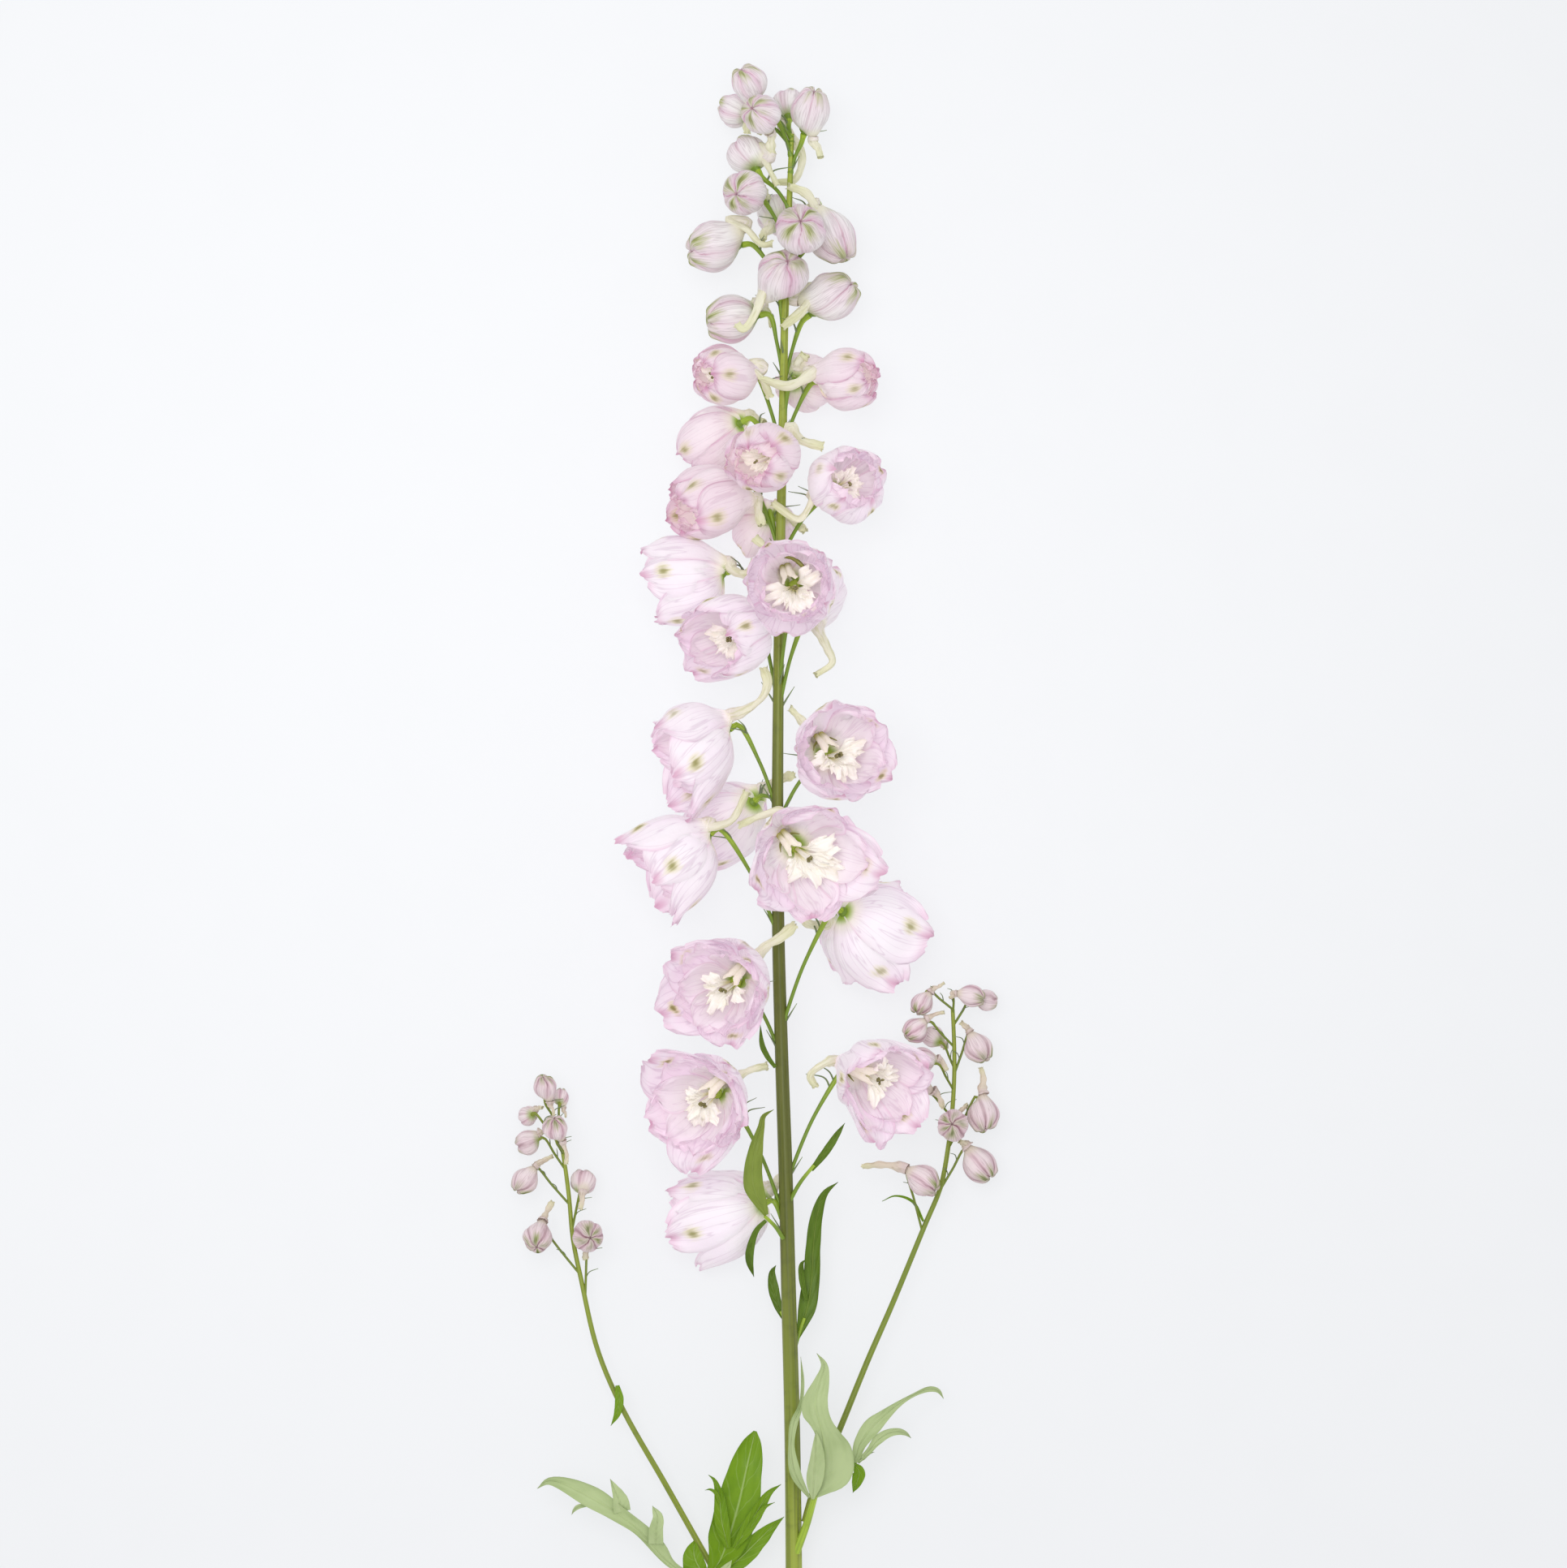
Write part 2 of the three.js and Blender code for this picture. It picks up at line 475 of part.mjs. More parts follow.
// The five sepals on their receptacle, as one closed surface. The receptacle is a small double cone with five
// corners, and each sepal widens from the edge between two corners and ends in a point.
function calyx(frame, opening) {
  const columns = opening < NARROW_MOUTH ? 2 : 3;
  const positions = [];
  const faces = [];
  // Points go in pairs, the one outside the bowl and, a blade's thickness away, the one inside it.
  const addPair = (point, normal) => {
    for (const half of [0.5, -0.5])
      positions.push(...point.clone().addScaledVector(normal, half * BLADE_THICKNESS));
    return positions.length / 6 - 1;
  };
  const bothSides = (a, b, c) => faces.push(2 * a, 2 * b, 2 * c, 2 * a + 1, 2 * c + 1, 2 * b + 1);
  const edge = (a, b) => faces.push(2 * b, 2 * a, 2 * a + 1, 2 * b, 2 * a + 1, 2 * b + 1);
  const fifth = (2 * Math.PI) / SEPALS;
  const backward = frame.forward.clone().negate();
  const corners = [];
  for (let i = 0; i < SEPALS; i++)
    corners.push(addPair(around(frame, (i - 0.5) * fifth, CLAW_RADIUS, 0), backward));
  for (let i = 0; i < SEPALS; i++) {
    const surface = sepalSurface(frame, opening, i * fifth);
    const rows = SEPAL_ROWS.map((v) => {
      const row = [];
      for (let k = 0; k <= columns; k++) row.push(addPair(...onSurface(surface, (2 * k) / columns - 1, v)));
      return row;
    });
    const tip = addPair(...onSurface(surface, 0, 1));
    const [left, right] = [corners[i], corners[(i + 1) % SEPALS]];
    const middle = Math.ceil(columns / 2);
    bothSides(left, right, rows[0][middle]);
    for (let k = 0; k < columns; k++) {
      bothSides(k < middle ? left : right, rows[0][k + 1], rows[0][k]);
      bothSides(rows.at(-1)[k], rows.at(-1)[k + 1], tip);
      for (let j = 1; j < rows.length; j++) {
        bothSides(rows[j - 1][k], rows[j - 1][k + 1], rows[j][k + 1]);
        bothSides(rows[j - 1][k], rows[j][k + 1], rows[j][k]);
      }
    }
    const rightSide = [right, ...rows.map((row) => row.at(-1)), tip];
    const leftSide = [tip, ...rows.map((row) => row[0]).reverse(), left];
    for (const side of [rightSide, leftSide]) side.slice(1).forEach((point, j) => edge(side[j], point));
  }
  positions.push(...around(frame, 0, 0, -RECEPTACLE_DEPTH), ...around(frame, 0, 0, RECEPTACLE_RISE));
  const inside = positions.length / 3 - 1;
  corners.forEach((left, i) => {
    const right = corners[(i + 1) % SEPALS];
    faces.push(2 * right, 2 * left, inside - 1, 2 * left + 1, 2 * right + 1, inside);
  });
  const geometry = new THREE.BufferGeometry().setIndex(faces);
  geometry.setAttribute("position", new THREE.Float32BufferAttribute(positions, 3));
  return solidOf(geometry);
}

// The bee: the white inner petals in the middle of an open flower, one ragged cup cut into five.
function bee(frame) {
  const outer = [
    [0, 0],
    [BEE_FOOT_RADIUS, BEE_WALL],
    [BEE_WAIST_RADIUS, 0.5 * BEE_LENGTH],
    [BEE_RIM_RADIUS, BEE_LENGTH],
  ];
  const inner = outer.map(([radius, along]) => [Math.max(0, radius - BEE_WALL), along + BEE_WALL]).reverse();
  const profile = [...outer, ...inner].map(([radius, along]) => new THREE.Vector2(radius, along));
  const geometry = new THREE.LatheGeometry(profile, 2 * BEE_PETALS);
  const position = geometry.getAttribute("position");
  for (let i = 0; i < position.count; i++) {
    const turn = Math.atan2(position.getX(i), position.getZ(i));
    const radius = Math.hypot(position.getX(i), position.getZ(i));
    const notch = 1 - (BEE_NOTCH * position.getY(i) * (1 - Math.cos(BEE_PETALS * turn))) / BEE_LENGTH;
    const point = around(frame, turn, radius, BEE_BASE + position.getY(i) * notch);
    position.setXYZ(i, point.x, point.y, point.z);
  }
  return solidOf(geometry);
}

// ---------------------------------------------------------------- stems

// The flower's stalk: up from the stem, then over to the back of the receptacle.
function pedicel(frame, foot) {
  const end = around(frame, 0, 0, -RECEPTACLE_DEPTH - NODE_GAP);
  const bend = end.clone().addScaledVector(frame.forward, -PEDICEL_BEND);
  const rise = mix(foot, bend, 0.45);
  rise.y += 0.1 * foot.distanceTo(bend);
  return stalk([foot, rise, bend, end], () => PEDICEL_RADIUS, PEDICEL_SIDES, PEDICEL_RINGS);
}

// The small narrow leaf at the foot of a flower's stalk.
function bract(foot, towards) {
  const out = towards.clone().sub(foot);
  out.y = 0;
  out.normalize();
  const middle = foot.clone().addScaledVector(out, 0.34 * BRACT_LENGTH);
  middle.y += 0.5 * BRACT_LENGTH;
  const tip = foot.clone().addScaledVector(out, 0.55 * BRACT_LENGTH);
  tip.y += BRACT_LENGTH;
  return stalk([foot, middle, tip], taper(BRACT_ROOT_RADIUS, BRACT_TIP_RADIUS), 3, 2);
}

const stemLine = new THREE.CatmullRomCurve3(STEM_LINE.map(vector), false, "centripetal");
const stemRadius = (along) => {
  const thick = (1 - along) ** STEM_TAPER;
  return STEM_TIP_RADIUS + (STEM_BUTT_RADIUS - STEM_TIP_RADIUS) * thick;
};

// The point of the stem's centre line at a distance y along the spike, found by halving.
function stemAt(y) {
  let [low, high] = [0, 1];
  for (let i = 0; i < 24; i++) {
    const middle = (low + high) / 2;
    if (stemLine.getPointAt(middle).y < y) low = middle;
    else high = middle;
  }
  return stemLine.getPointAt(low);
}

// The main stem, grown as one with the flowers' stalks and the bracts at their feet.
function mainStem(florets) {
  const solids = [stalk(STEM_LINE.map(vector), stemRadius, STEM_SIDES, STEM_RINGS)];
  for (const { frame, foot, opening } of florets) {
    const start = stemAt(foot);
    solids.push(pedicel(frame, start));
    if (opening > 0.5) solids.push(bract(start, frame.root));
  }
  return joined(solids);
}

// A side spray: its stalk, grown as one with its buds and bracts.
function spray({ line, bracts, buds }) {
  const centre = new THREE.CatmullRomCurve3(line.map(vector), false, "centripetal");
  const main = stalk(line.map(vector), taper(SPRAY_ROOT_RADIUS, SPRAY_TIP_RADIUS), 4, 11);
  const solids = [main, ...bracts.map(lobe)];
  for (const [at, facing, length, width, foot, spurEnd] of buds) {
    const frame = frameOf([at, facing, length, width, spurEnd]);
    const start = centre.getPointAt(foot);
    const end = around(frame, 0, 0, SPRAY_PEDICEL_END);
    const bend = around(frame, 0, 0, -SPRAY_PEDICEL_BEND);
    const path = [start, mix(start, bend, 0.5), bend, end];
    solids.push(stalk(path, () => SPRAY_PEDICEL_RADIUS, PEDICEL_SIDES, PEDICEL_RINGS));
    solids.push(bud(frame, SEPALS, 4), spur(frame, SPRAY_SPUR_SIZE, 3, 2));
  }
  return joined(solids);
}

// ---------------------------------------------------------------- leaves

// A lobe: a blade on a curved rib, widest part way along and drawn out to a point, with its margins lifted.
function lobe([base, lower, upper, tip, halfWidth, widest, fold]) {
  const rib = new THREE.CatmullRomCurve3([base, lower, upper, tip].map(vector), false, "centripetal");
  const surface = (u, v) => {
    const share = THREE.MathUtils.clamp(v, 0, 1);
    const tangent = rib.getTangentAt(share);
    const across = tangent.clone().cross(new THREE.Vector3(0, 0, 1)).normalize();
    const normal = across.clone().cross(tangent).normalize();
    const rising = share < widest ? share / widest : (1 - share) / (1 - widest);
    const width = halfWidth * Math.sin((Math.PI / 2) * rising) ** 0.8;
    const point = rib.getPointAt(share).addScaledVector(tangent, (v - share) * 10);
    return point.addScaledVector(across, u * width).addScaledVector(normal, fold * u * u);
  };
  const rows = halfWidth > 5 ? [0, 0.2, 0.4, 0.6, 0.8, 1] : [0, 0.25, 0.5, 0.8, 1];
  return blade(2, rows, surface, LEAF_THICKNESS);
}

// A leaf: its stalk, and its lobes from the knot at the end of it.
function leaf({ stalk: line, lobes }) {
  const foot = stalk(line.map(vector), taper(LEAF_STALK_RADIUS, LEAF_STALK_TIP_RADIUS), 4, 4);
  const hub = new THREE.SphereGeometry(LEAF_HUB_RADIUS, 4, 2).translate(...line.at(-1));
  return joined([foot, solidOf(hub), ...lobes.map(lobe)]);
}

// ---------------------------------------------------------------- the spike

const florets = FLORETS.map(([name, centre, facing, length, width, opening, foot, spurEnd]) => ({
  name,
  opening,
  foot,
  frame: frameOf([centre, facing, length, width, spurEnd]),
}));

const spike = new THREE.Group();
spike.add(pieceOf("main_stem", mainStem(florets), STEM_GREEN));
for (const { name, opening, frame } of florets) {
  if (opening === 0) {
    const shut = joined([bud(frame, 2 * SEPALS, 4), spur(frame, BUD_SPUR_SIZE, 4, 3)]);
    spike.add(pieceOf(name, shut, BUD_PINK));
  } else {
    spike.add(pieceOf(name, calyx(frame, opening).add(spur(frame, 1, 4, 3)), SEPAL_PINK));
  }
  if (WITH_BEE.includes(name)) spike.add(pieceOf(name.replace("bloom", "bee"), bee(frame), BEE_WHITE));
}
for (const one of SPRAYS) spike.add(pieceOf(one.name, spray(one), SPRAY_GREEN));
for (const one of LEAVES) spike.add(pieceOf(one.name, leaf(one), LEAF_GREEN));

export default spike;
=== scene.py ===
"""A cut delphinium spike with pale pink flowers, lying on a pale surface.

The tables below are in millimetres, in the frame of the solids: +Y along the stem to its tip, +Z up from the
surface. Every piece is built in millimetres and scaled to metres as it is finished.
"""

import math
import random

import bmesh
import bpy
from mathutils import Matrix, Vector, noise


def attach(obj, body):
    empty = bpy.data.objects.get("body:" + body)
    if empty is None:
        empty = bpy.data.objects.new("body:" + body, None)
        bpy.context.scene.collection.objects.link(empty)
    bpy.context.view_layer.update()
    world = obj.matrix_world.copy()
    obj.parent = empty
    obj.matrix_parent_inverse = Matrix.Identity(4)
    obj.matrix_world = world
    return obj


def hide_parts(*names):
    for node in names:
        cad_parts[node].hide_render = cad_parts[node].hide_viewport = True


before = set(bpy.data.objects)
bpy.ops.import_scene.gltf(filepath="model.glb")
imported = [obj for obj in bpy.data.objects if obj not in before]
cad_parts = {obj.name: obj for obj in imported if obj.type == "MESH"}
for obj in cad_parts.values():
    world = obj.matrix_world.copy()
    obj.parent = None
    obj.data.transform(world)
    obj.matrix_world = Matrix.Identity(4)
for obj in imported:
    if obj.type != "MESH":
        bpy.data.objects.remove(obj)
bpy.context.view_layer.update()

MM = 0.001

# ---------------------------------------------------------------- camera

VIEW_POINT = (11.4, 76.2, 30)  # the middle of the picture, at the height of the stem
VIEW_DISTANCE = 3500
VIEW_HEIGHT = 618.2  # how much of the plane through the view point the picture takes in
VIEW_LIMIT = 50  # metres
SENSOR = 36

camera_data = bpy.data.cameras.new("camera")
camera_data.sensor_width = SENSOR
camera_data.lens = SENSOR * VIEW_DISTANCE / VIEW_HEIGHT
camera_data.clip_end = VIEW_LIMIT
camera = bpy.data.objects.new("camera", camera_data)
camera.location = (Vector(VIEW_POINT) + Vector((0, 0, VIEW_DISTANCE))) * MM
bpy.context.scene.collection.objects.link(camera)
bpy.context.scene.camera = camera

# ---------------------------------------------------------------- the plant's tables

STEM_LINE = [
    (15.7, -360, 3.5), (15.7, -330, 3.5), (15.7, -300, 5), (15.4, -233, 12), (14.7, -175, 18.5),
    (13.4, -127, 23), (12.2, -79, 26), (10.6, -31, 28), (9.3, 17, 29), (9, 65, 29), (9.3, 113, 29),
    (9.9, 161, 28.5), (10.6, 193, 28), (11.2, 225, 27), (11.8, 257, 26), (13.1, 289, 25), (14.2, 321, 24),
    (14.7, 333, 24),
]

# The main spike's flowers, from the tip down:
# name, centre, facing, length, width, opening, height on the stem where the stalk leaves it, end of the spur.
# opening runs from 0, a shut bud, to about 1.1, wide open.
FLORETS = [
    ("bud_01", (-2, 353, 28), (-0.45, 0.8, 0.4), 14, 13.5, 0, 331, (-3, 333, 26)),
    ("bud_02", (-7.5, 343, 13), (-0.75, 0.35, -0.5), 13.5, 13, 0, 327, (2, 334, 17)),
    ("bud_03", (2.6, 340, 39), (-0.5, 0.2, 0.84), 15, 15, 0, 324, (7, 324, 30)),
    ("bud_04", (13.5, 345, 14), (0, 0.75, -0.65), 13.5, 13, 0, 329, (7.4, 314, 22)),
    ("bud_05", (22, 342, 30), (0.25, 0.9, 0.35), 17, 15, 0, 317, (26, 323, 31)),
    ("bud_06", (-3, 325, 21), (-0.45, 0.7, -0.5), 15.5, 15, 0, 303, (9, 312, 30)),
    ("bud_07", (-4, 309, 34), (-0.5, 0.12, 0.86), 17, 17, 0, 288, (5, 307, 20)),
    ("bud_08", (9, 302, 9), (-0.2, 0.45, -0.87), 17, 16, 0, 283, (3, 291, 22)),
    ("bud_09", (-16.5, 288.5, 27), (-0.97, -0.05, 0.2), 20, 19.5, 0, 268, (7, 289, 33)),
    ("bud_10", (18, 294, 45), (-0.12, 0.45, 0.88), 19.5, 19.5, 0, 274, (21, 304, 23)),
    ("bud_11", (30.5, 292, 26), (0.35, -0.85, 0.2), 21, 18, 0, 279, (13, 312, 30)),
    ("bud_12", (11, 277, 37), (0.05, 0.65, 0.75), 19, 19, 0, 244, (-7, 257, 41)),
    ("bud_13", (-9.5, 260, 26), (-0.93, -0.1, 0.1), 19.5, 18.5, 0, 236, (7, 257, 19)),
    ("bud_14", (30.5, 269, 25), (0.7, 0.6, 0.2), 20, 19, 0, 233, (11, 256, 32)),
    ("bloom_15", (-12.5, 236.5, 33), (-0.75, -0.05, 0.6), 23, 26, 0.34, 206, (6, 229, 29)),
    ("bloom_16", (37, 235.5, 33), (0.82, 0.05, 0.5), 22, 26, 0.3, 208, (2, 236, 33)),
    ("bloom_17", (19, 236, 12.4), (0.3, 0.1, -0.9), 22, 24, 0.34, 213, (20, 246, 25)),
    ("bloom_18", (-17, 214, 14), (-0.8, -0.35, -0.35), 25, 26, 0.42, 200, (4, 219, 20)),
    ("bloom_19", (4, 203, 50), (-0.35, -0.25, 0.88), 26, 30, 0.46, 194, (27, 209, 35)),
    ("bloom_20", (36.5, 194.5, 34), (0.42, 0.2, 0.88), 26, 32, 0.5, 164, (7, 187, 35)),
    ("bloom_21", (-18, 187.5, 31), (-0.86, -0.32, 0.38), 28, 31, 0.46, 166, (3, 178, 33)),
    ("bloom_22", (3.5, 178, 9.5), (-0.15, -0.35, -0.9), 22, 26, 0.45, 163, (20, 176, 22)),
    ("bloom_23", (-26, 156.5, 24), (-0.93, -0.2, -0.1), 27, 37, 0.62, 143, (0, 164, 28)),
    ("bloom_24", (15, 153.5, 58), (-0.05, -0.05, 1), 27, 37, 0.74, 112, (0, 173, 40)),
    ("bloom_25", (-8.2, 133.6, 41.5), (-0.5, -0.3, 0.8), 30, 35, 0.62, 106, (4, 153, 22)),
    ("bloom_26", (22, 150, 17), (0.15, 0.5, -0.85), 25, 29, 0.6, 104, (24, 119, 36)),
    ("bloom_27", (-22.5, 91, 34), (-0.86, -0.46, 0.25), 26, 41, 0.82, 65, (3.5, 122, 35)),
    ("bloom_28", (31, 87.5, 50), (0.22, 0, 0.95), 26, 39, 0.84, 61, (14, 106, 36)),
    ("bloom_29", (-10, 62, 13), (-0.6, -0.45, -0.65), 31, 33, 0.6, 69, (16, 80, 19)),
    ("bloom_30", (-29, 47.5, 40), (-0.79, -0.61, 0.12), 26, 40, 0.8, 18, (-3, 73, 40)),
    ("bloom_31", (17.5, 49, 56), (0.12, -0.22, 0.95), 22, 48, 1.08, 24, (-6, 60, 44)),
    ("bloom_32", (41.5, 22, 25), (0.55, -0.32, -0.77), 24, 46, 1.05, -21, (18, 27, 35)),
    ("bloom_33", (-10.5, -3, 48), (-0.25, -0.1, 0.94), 25, 43, 0.95, -31, (16, 21, 44)),
    ("bloom_34", (-20, -47, 42), (-0.42, -0.12, 0.88), 24, 46, 1.12, -98, (5, -35, 27)),
    ("bloom_35", (48, -39, 38), (0.5, -0.3, 0.8), 28, 39, 0.85, -81, (24, -43, 31)),
    ("bloom_36", (-11, -93, 14), (-0.8, -0.2, -0.5), 33, 38, 0.8, -105, (14, -76, 14)),
]

# Open flowers whose inner petals, the bee, show: how far these spread against the usual.
BEES = {
    "bloom_24": 1.25,
    "bloom_25": 1,
    "bloom_27": 0.8,
    "bloom_28": 1.15,
    "bloom_31": 1.05,
    "bloom_33": 0.85,
    "bloom_34": 0.8,
    "bloom_35": 1,
}
DOUBLE = ("bloom_24", "bloom_33", "bloom_34")  # these have another ring of small sepals inside
WITH_LIP = ("bloom_24", "bloom_25", "bloom_28", "bloom_31", "bloom_35")

# Side sprays: the stalk's centre line, its bracts as leaf lobes (see LEAVES), and its buds as centre, facing,
# length, width, share of the stalk where its own stalk leaves, end of the spur.
SPRAYS = {
    "side_spray_left": {
        "line": [
            (10.6, -292, 8), (0, -264, 9.5), (-17.6, -233, 11), (-35, -202, 12), (-52.8, -170.5, 12.5),
            (-62.4, -147.5, 13), (-68.8, -120, 13.5), (-72, -104, 14), (-73.6, -87, 14), (-75.8, -71, 14),
            (-78.4, -58, 14),
        ],
        "bracts": [
            (
                [(-54.4, -162, 14.2), (-53.6, -168, 15.6), (-54.4, -173, 15.8), (-57, -178, 14)],
                [(0, 0.8, 0.8), (0.3, 1.7, 1.7), (0.6, 1.5, 1.5), (1, 0, 0)],
                0.3, True,
            ),
        ],
        "buds": [
            ((-83, -43.5, 18), (0, 0.95, 0.3), 10, 9, 1, (-79.5, -55, 19)),
            ((-77, -48, 9), (0.1, 0.7, -0.6), 7, 6.5, 0.985, (-75, -56, 11)),
            ((-90, -55.5, 9), (-0.5, -0.2, -0.8), 8, 7.5, 0.96, (-84, -52, 14)),
            ((-79, -59.5, 25), (-0.1, 0.85, 0.5), 10, 9.5, 0.95, (-74.6, -74, 21)),
            ((-90, -66, 14), (-0.9, -0.3, -0.2), 10, 9.5, 0.925, (-82, -61.5, 16)),
            ((-91, -81, 15), (-0.5, -0.75, 0.35), 11.5, 9.5, 0.87, (-80, -71, 19)),
            ((-68, -81.5, 12), (0.2, 0.7, -0.6), 10.5, 10, 0.83, (-69, -92, 19)),
            ((-86, -103.5, 18), (-0.15, -0.55, 0.8), 12, 11, 0.76, (-80, -89, 15)),
            ((-66, -102.5, 23), (0.05, 0, 1), 12, 12, 0.72, (-67, -112, 14)),
        ],
    },
    "side_spray_right": {
        "line": [
            (19.8, -216, 14), (23.4, -203.5, 14), (33.6, -179.5, 14), (44.8, -152, 14), (54.4, -130, 14),
            (67.2, -99, 14), (73.6, -83.5, 14), (76.2, -70.5, 14), (78, -56, 14.5), (79, -40, 15),
            (79, -27.5, 15), (78.4, -13, 15),
        ],
        "bracts": [
            (
                [(66.8, -97, 14.5), (62.4, -89, 16), (55.6, -86.8, 17), (50.4, -89, 16)],
                [(0, 0.5, 0.5), (0.4, 0.6, 0.6), (1, 0.1, 0.1)],
                0.1, True,
            ),
        ],
        "buds": [
            ((66, -11, 16), (-0.4, -0.85, 0.3), 9.5, 8.5, 1, (75, -2.5, 17)),
            ((86, -7.5, 20), (0.9, -0.2, 0.2), 11, 8.5, 0.99, (77, -8.5, 21)),
            ((92, -9.5, 11), (0.95, -0.2, -0.2), 9, 8.5, 0.97, (84, -8, 11)),
            ((63.5, -21.5, 19), (-0.8, -0.55, 0.2), 10, 9.5, 0.93, (75, -14, 21)),
            ((70.5, -24, 8), (-0.7, 0.5, -0.5), 9, 8.5, 0.89, (75.5, -29, 9)),
            ((88.5, -28.5, 18), (0.45, -0.8, 0.35), 12, 10.5, 0.88, (81.5, -18, 20)),
            ((66, -33, 25), (-0.9, 0.2, 0.35), 11, 10, 0.85, (76, -37, 21)),
            ((63.5, -43.5, 20), (-0.85, 0.4, 0.3), 12, 10.5, 0.8, (74.5, -52, 18)),
            ((78.4, -58.5, 26), (0.05, 0, 1), 12, 12, 0.75, (84, -51, 15)),
            ((90.5, -55, 17), (0.3, -0.9, 0.3), 14, 12, 0.74, (89.5, -36, 15)),
            ((67, -80.5, 24), (0.8, -0.5, 0.3), 14, 12, 0.58, (42.6, -75, 21)),
            ((89, -75, 15), (0.6, -0.75, 0.2), 15, 13, 0.66, (81, -65, 19)),
        ],
    },
}

# Sepals that differ from their flower's own shape: for each of the five, how much wider it opens and how much
# longer it is. The first is the one with the spur.
SEPAL_HABITS = {
    "bloom_24": [(0, 0.95), (0, 1), (0.03, 1.12), (0, 1.05), (0.02, 1)],
    "bloom_27": [(0, 1), (0, 1), (0.04, 1.08), (0.06, 1.16), (0.02, 1.1)],
    "bloom_28": [(-0.08, 0.96), (0.02, 1), (0.05, 1.06), (0.06, 1.08), (-0.04, 0.98)],
    "bloom_30": [(0.03, 1.04), (0, 1), (0.04, 1.1), (0.08, 1.18), (0.01, 1.08)],
    "bloom_31": [(-0.14, 0.86), (0.08, 1.18), (-0.02, 0.88), (0.04, 1.16), (-0.12, 0.88)],
    "bloom_33": [(-0.1, 0.94), (0.04, 1.04), (0.08, 1.1), (0, 1), (-0.04, 0.98)],
    "bloom_34": [(-0.05, 0.92), (0.08, 1.24), (-0.08, 0.9), (0.12, 1.26), (-0.06, 0.86)],
    "bloom_35": [(0.05, 0.78), (0.08, 1.15), (0.1, 1), (0.02, 0.96), (-0.1, 0.9)],
}

# The points that a spur passes before its end, where it is bent.
SPUR_KINKS = {
    "bud_04": [(18.6, 325, 17), (16, 315.5, 18)],
    "bud_06": [(2.2, 328.5, 25), (5, 320.5, 29)],
    "bud_09": [(-10, 298.5, 28), (-2.9, 294.7, 31), (2.6, 288.8, 33)],
    "bud_11": [(25, 302, 27), (20.5, 309, 29)],
    "bud_12": [(3.5, 270.5, 36), (0, 260.5, 39), (-4.5, 255, 41)],
    "bud_13": [(-1, 267, 25), (5, 263, 22)],
    "bud_14": [(22.4, 272.6, 27), (20, 264.5, 30)],
    "bloom_15": [(-2.6, 241.3, 34), (2.6, 236.2, 33)],
    "bloom_16": [(23.4, 238.7, 34), (13.8, 233, 36)],
    "bloom_19": [(13.8, 217, 39), (17.5, 212, 37)],
    "bloom_20": [(23, 188.5, 34), (17.6, 180.5, 35)],
    "bloom_23": [(-9.6, 161.3, 29), (-3.2, 159, 29)],
    "bloom_26": [(28.8, 129.3, 33), (30.6, 124, 35)],
    "bloom_27": [(-5, 104.6, 37), (2.6, 109.8, 37), (5.1, 115.8, 36)],
    "bloom_30": [(-18, 59.5, 42), (-9.3, 61.8, 41)],
    "bloom_31": [(10.2, 65.3, 46), (2.6, 63.7, 46)],
    "bloom_32": [(29.1, 21, 31), (20.8, 21.5, 34.5)],
    "bloom_33": [(5, 12.8, 42), (10.2, 16, 44)],
    "bloom_35": [(28, -33.6, 35), (22, -38.5, 33)],
}

# A dark olive line in the throat, as places of (turn, radius, distance along the axis), and its thickness.
OLIVE_LIP = ([(-0.9, 6.6, 5.6), (-0.5, 6.8, 4), (0, 6.8, 3.2), (0.5, 6.8, 4), (0.9, 6.6, 5.6)], 0.4)
OLIVE_LIPS = {
    "bloom_24": (
        [(0.1, 12.5, 9), (-0.3, 11.5, 9.5), (-0.75, 9.2, 10), (-1.15, 7.6, 10), (-1.5, 7, 10)],
        0.8,
    ),
}

# Inner petals away from the spur: turn, share of the bee's spread, half angle.
BEE_LIMBS = [
    (1.45, 1, 0.42), (1.9, 0.62, 0.35), (2.7, 0.8, 0.4), (3.35, 1.05, 0.5), (3.9, 0.6, 0.35),
    (4.75, 0.95, 0.45),
]
YOUNG_BEE_LIMBS = [(1.2, 0.8, 0.45), (2.3, 1, 0.5), (3.6, 0.7, 0.5), (4.7, 0.95, 0.45), (5.8, 0.8, 0.45)]
OPEN_BEE = (BEE_LIMBS, 10)  # and its number of stamens
YOUNG_BEE = (YOUNG_BEE_LIMBS, 2)

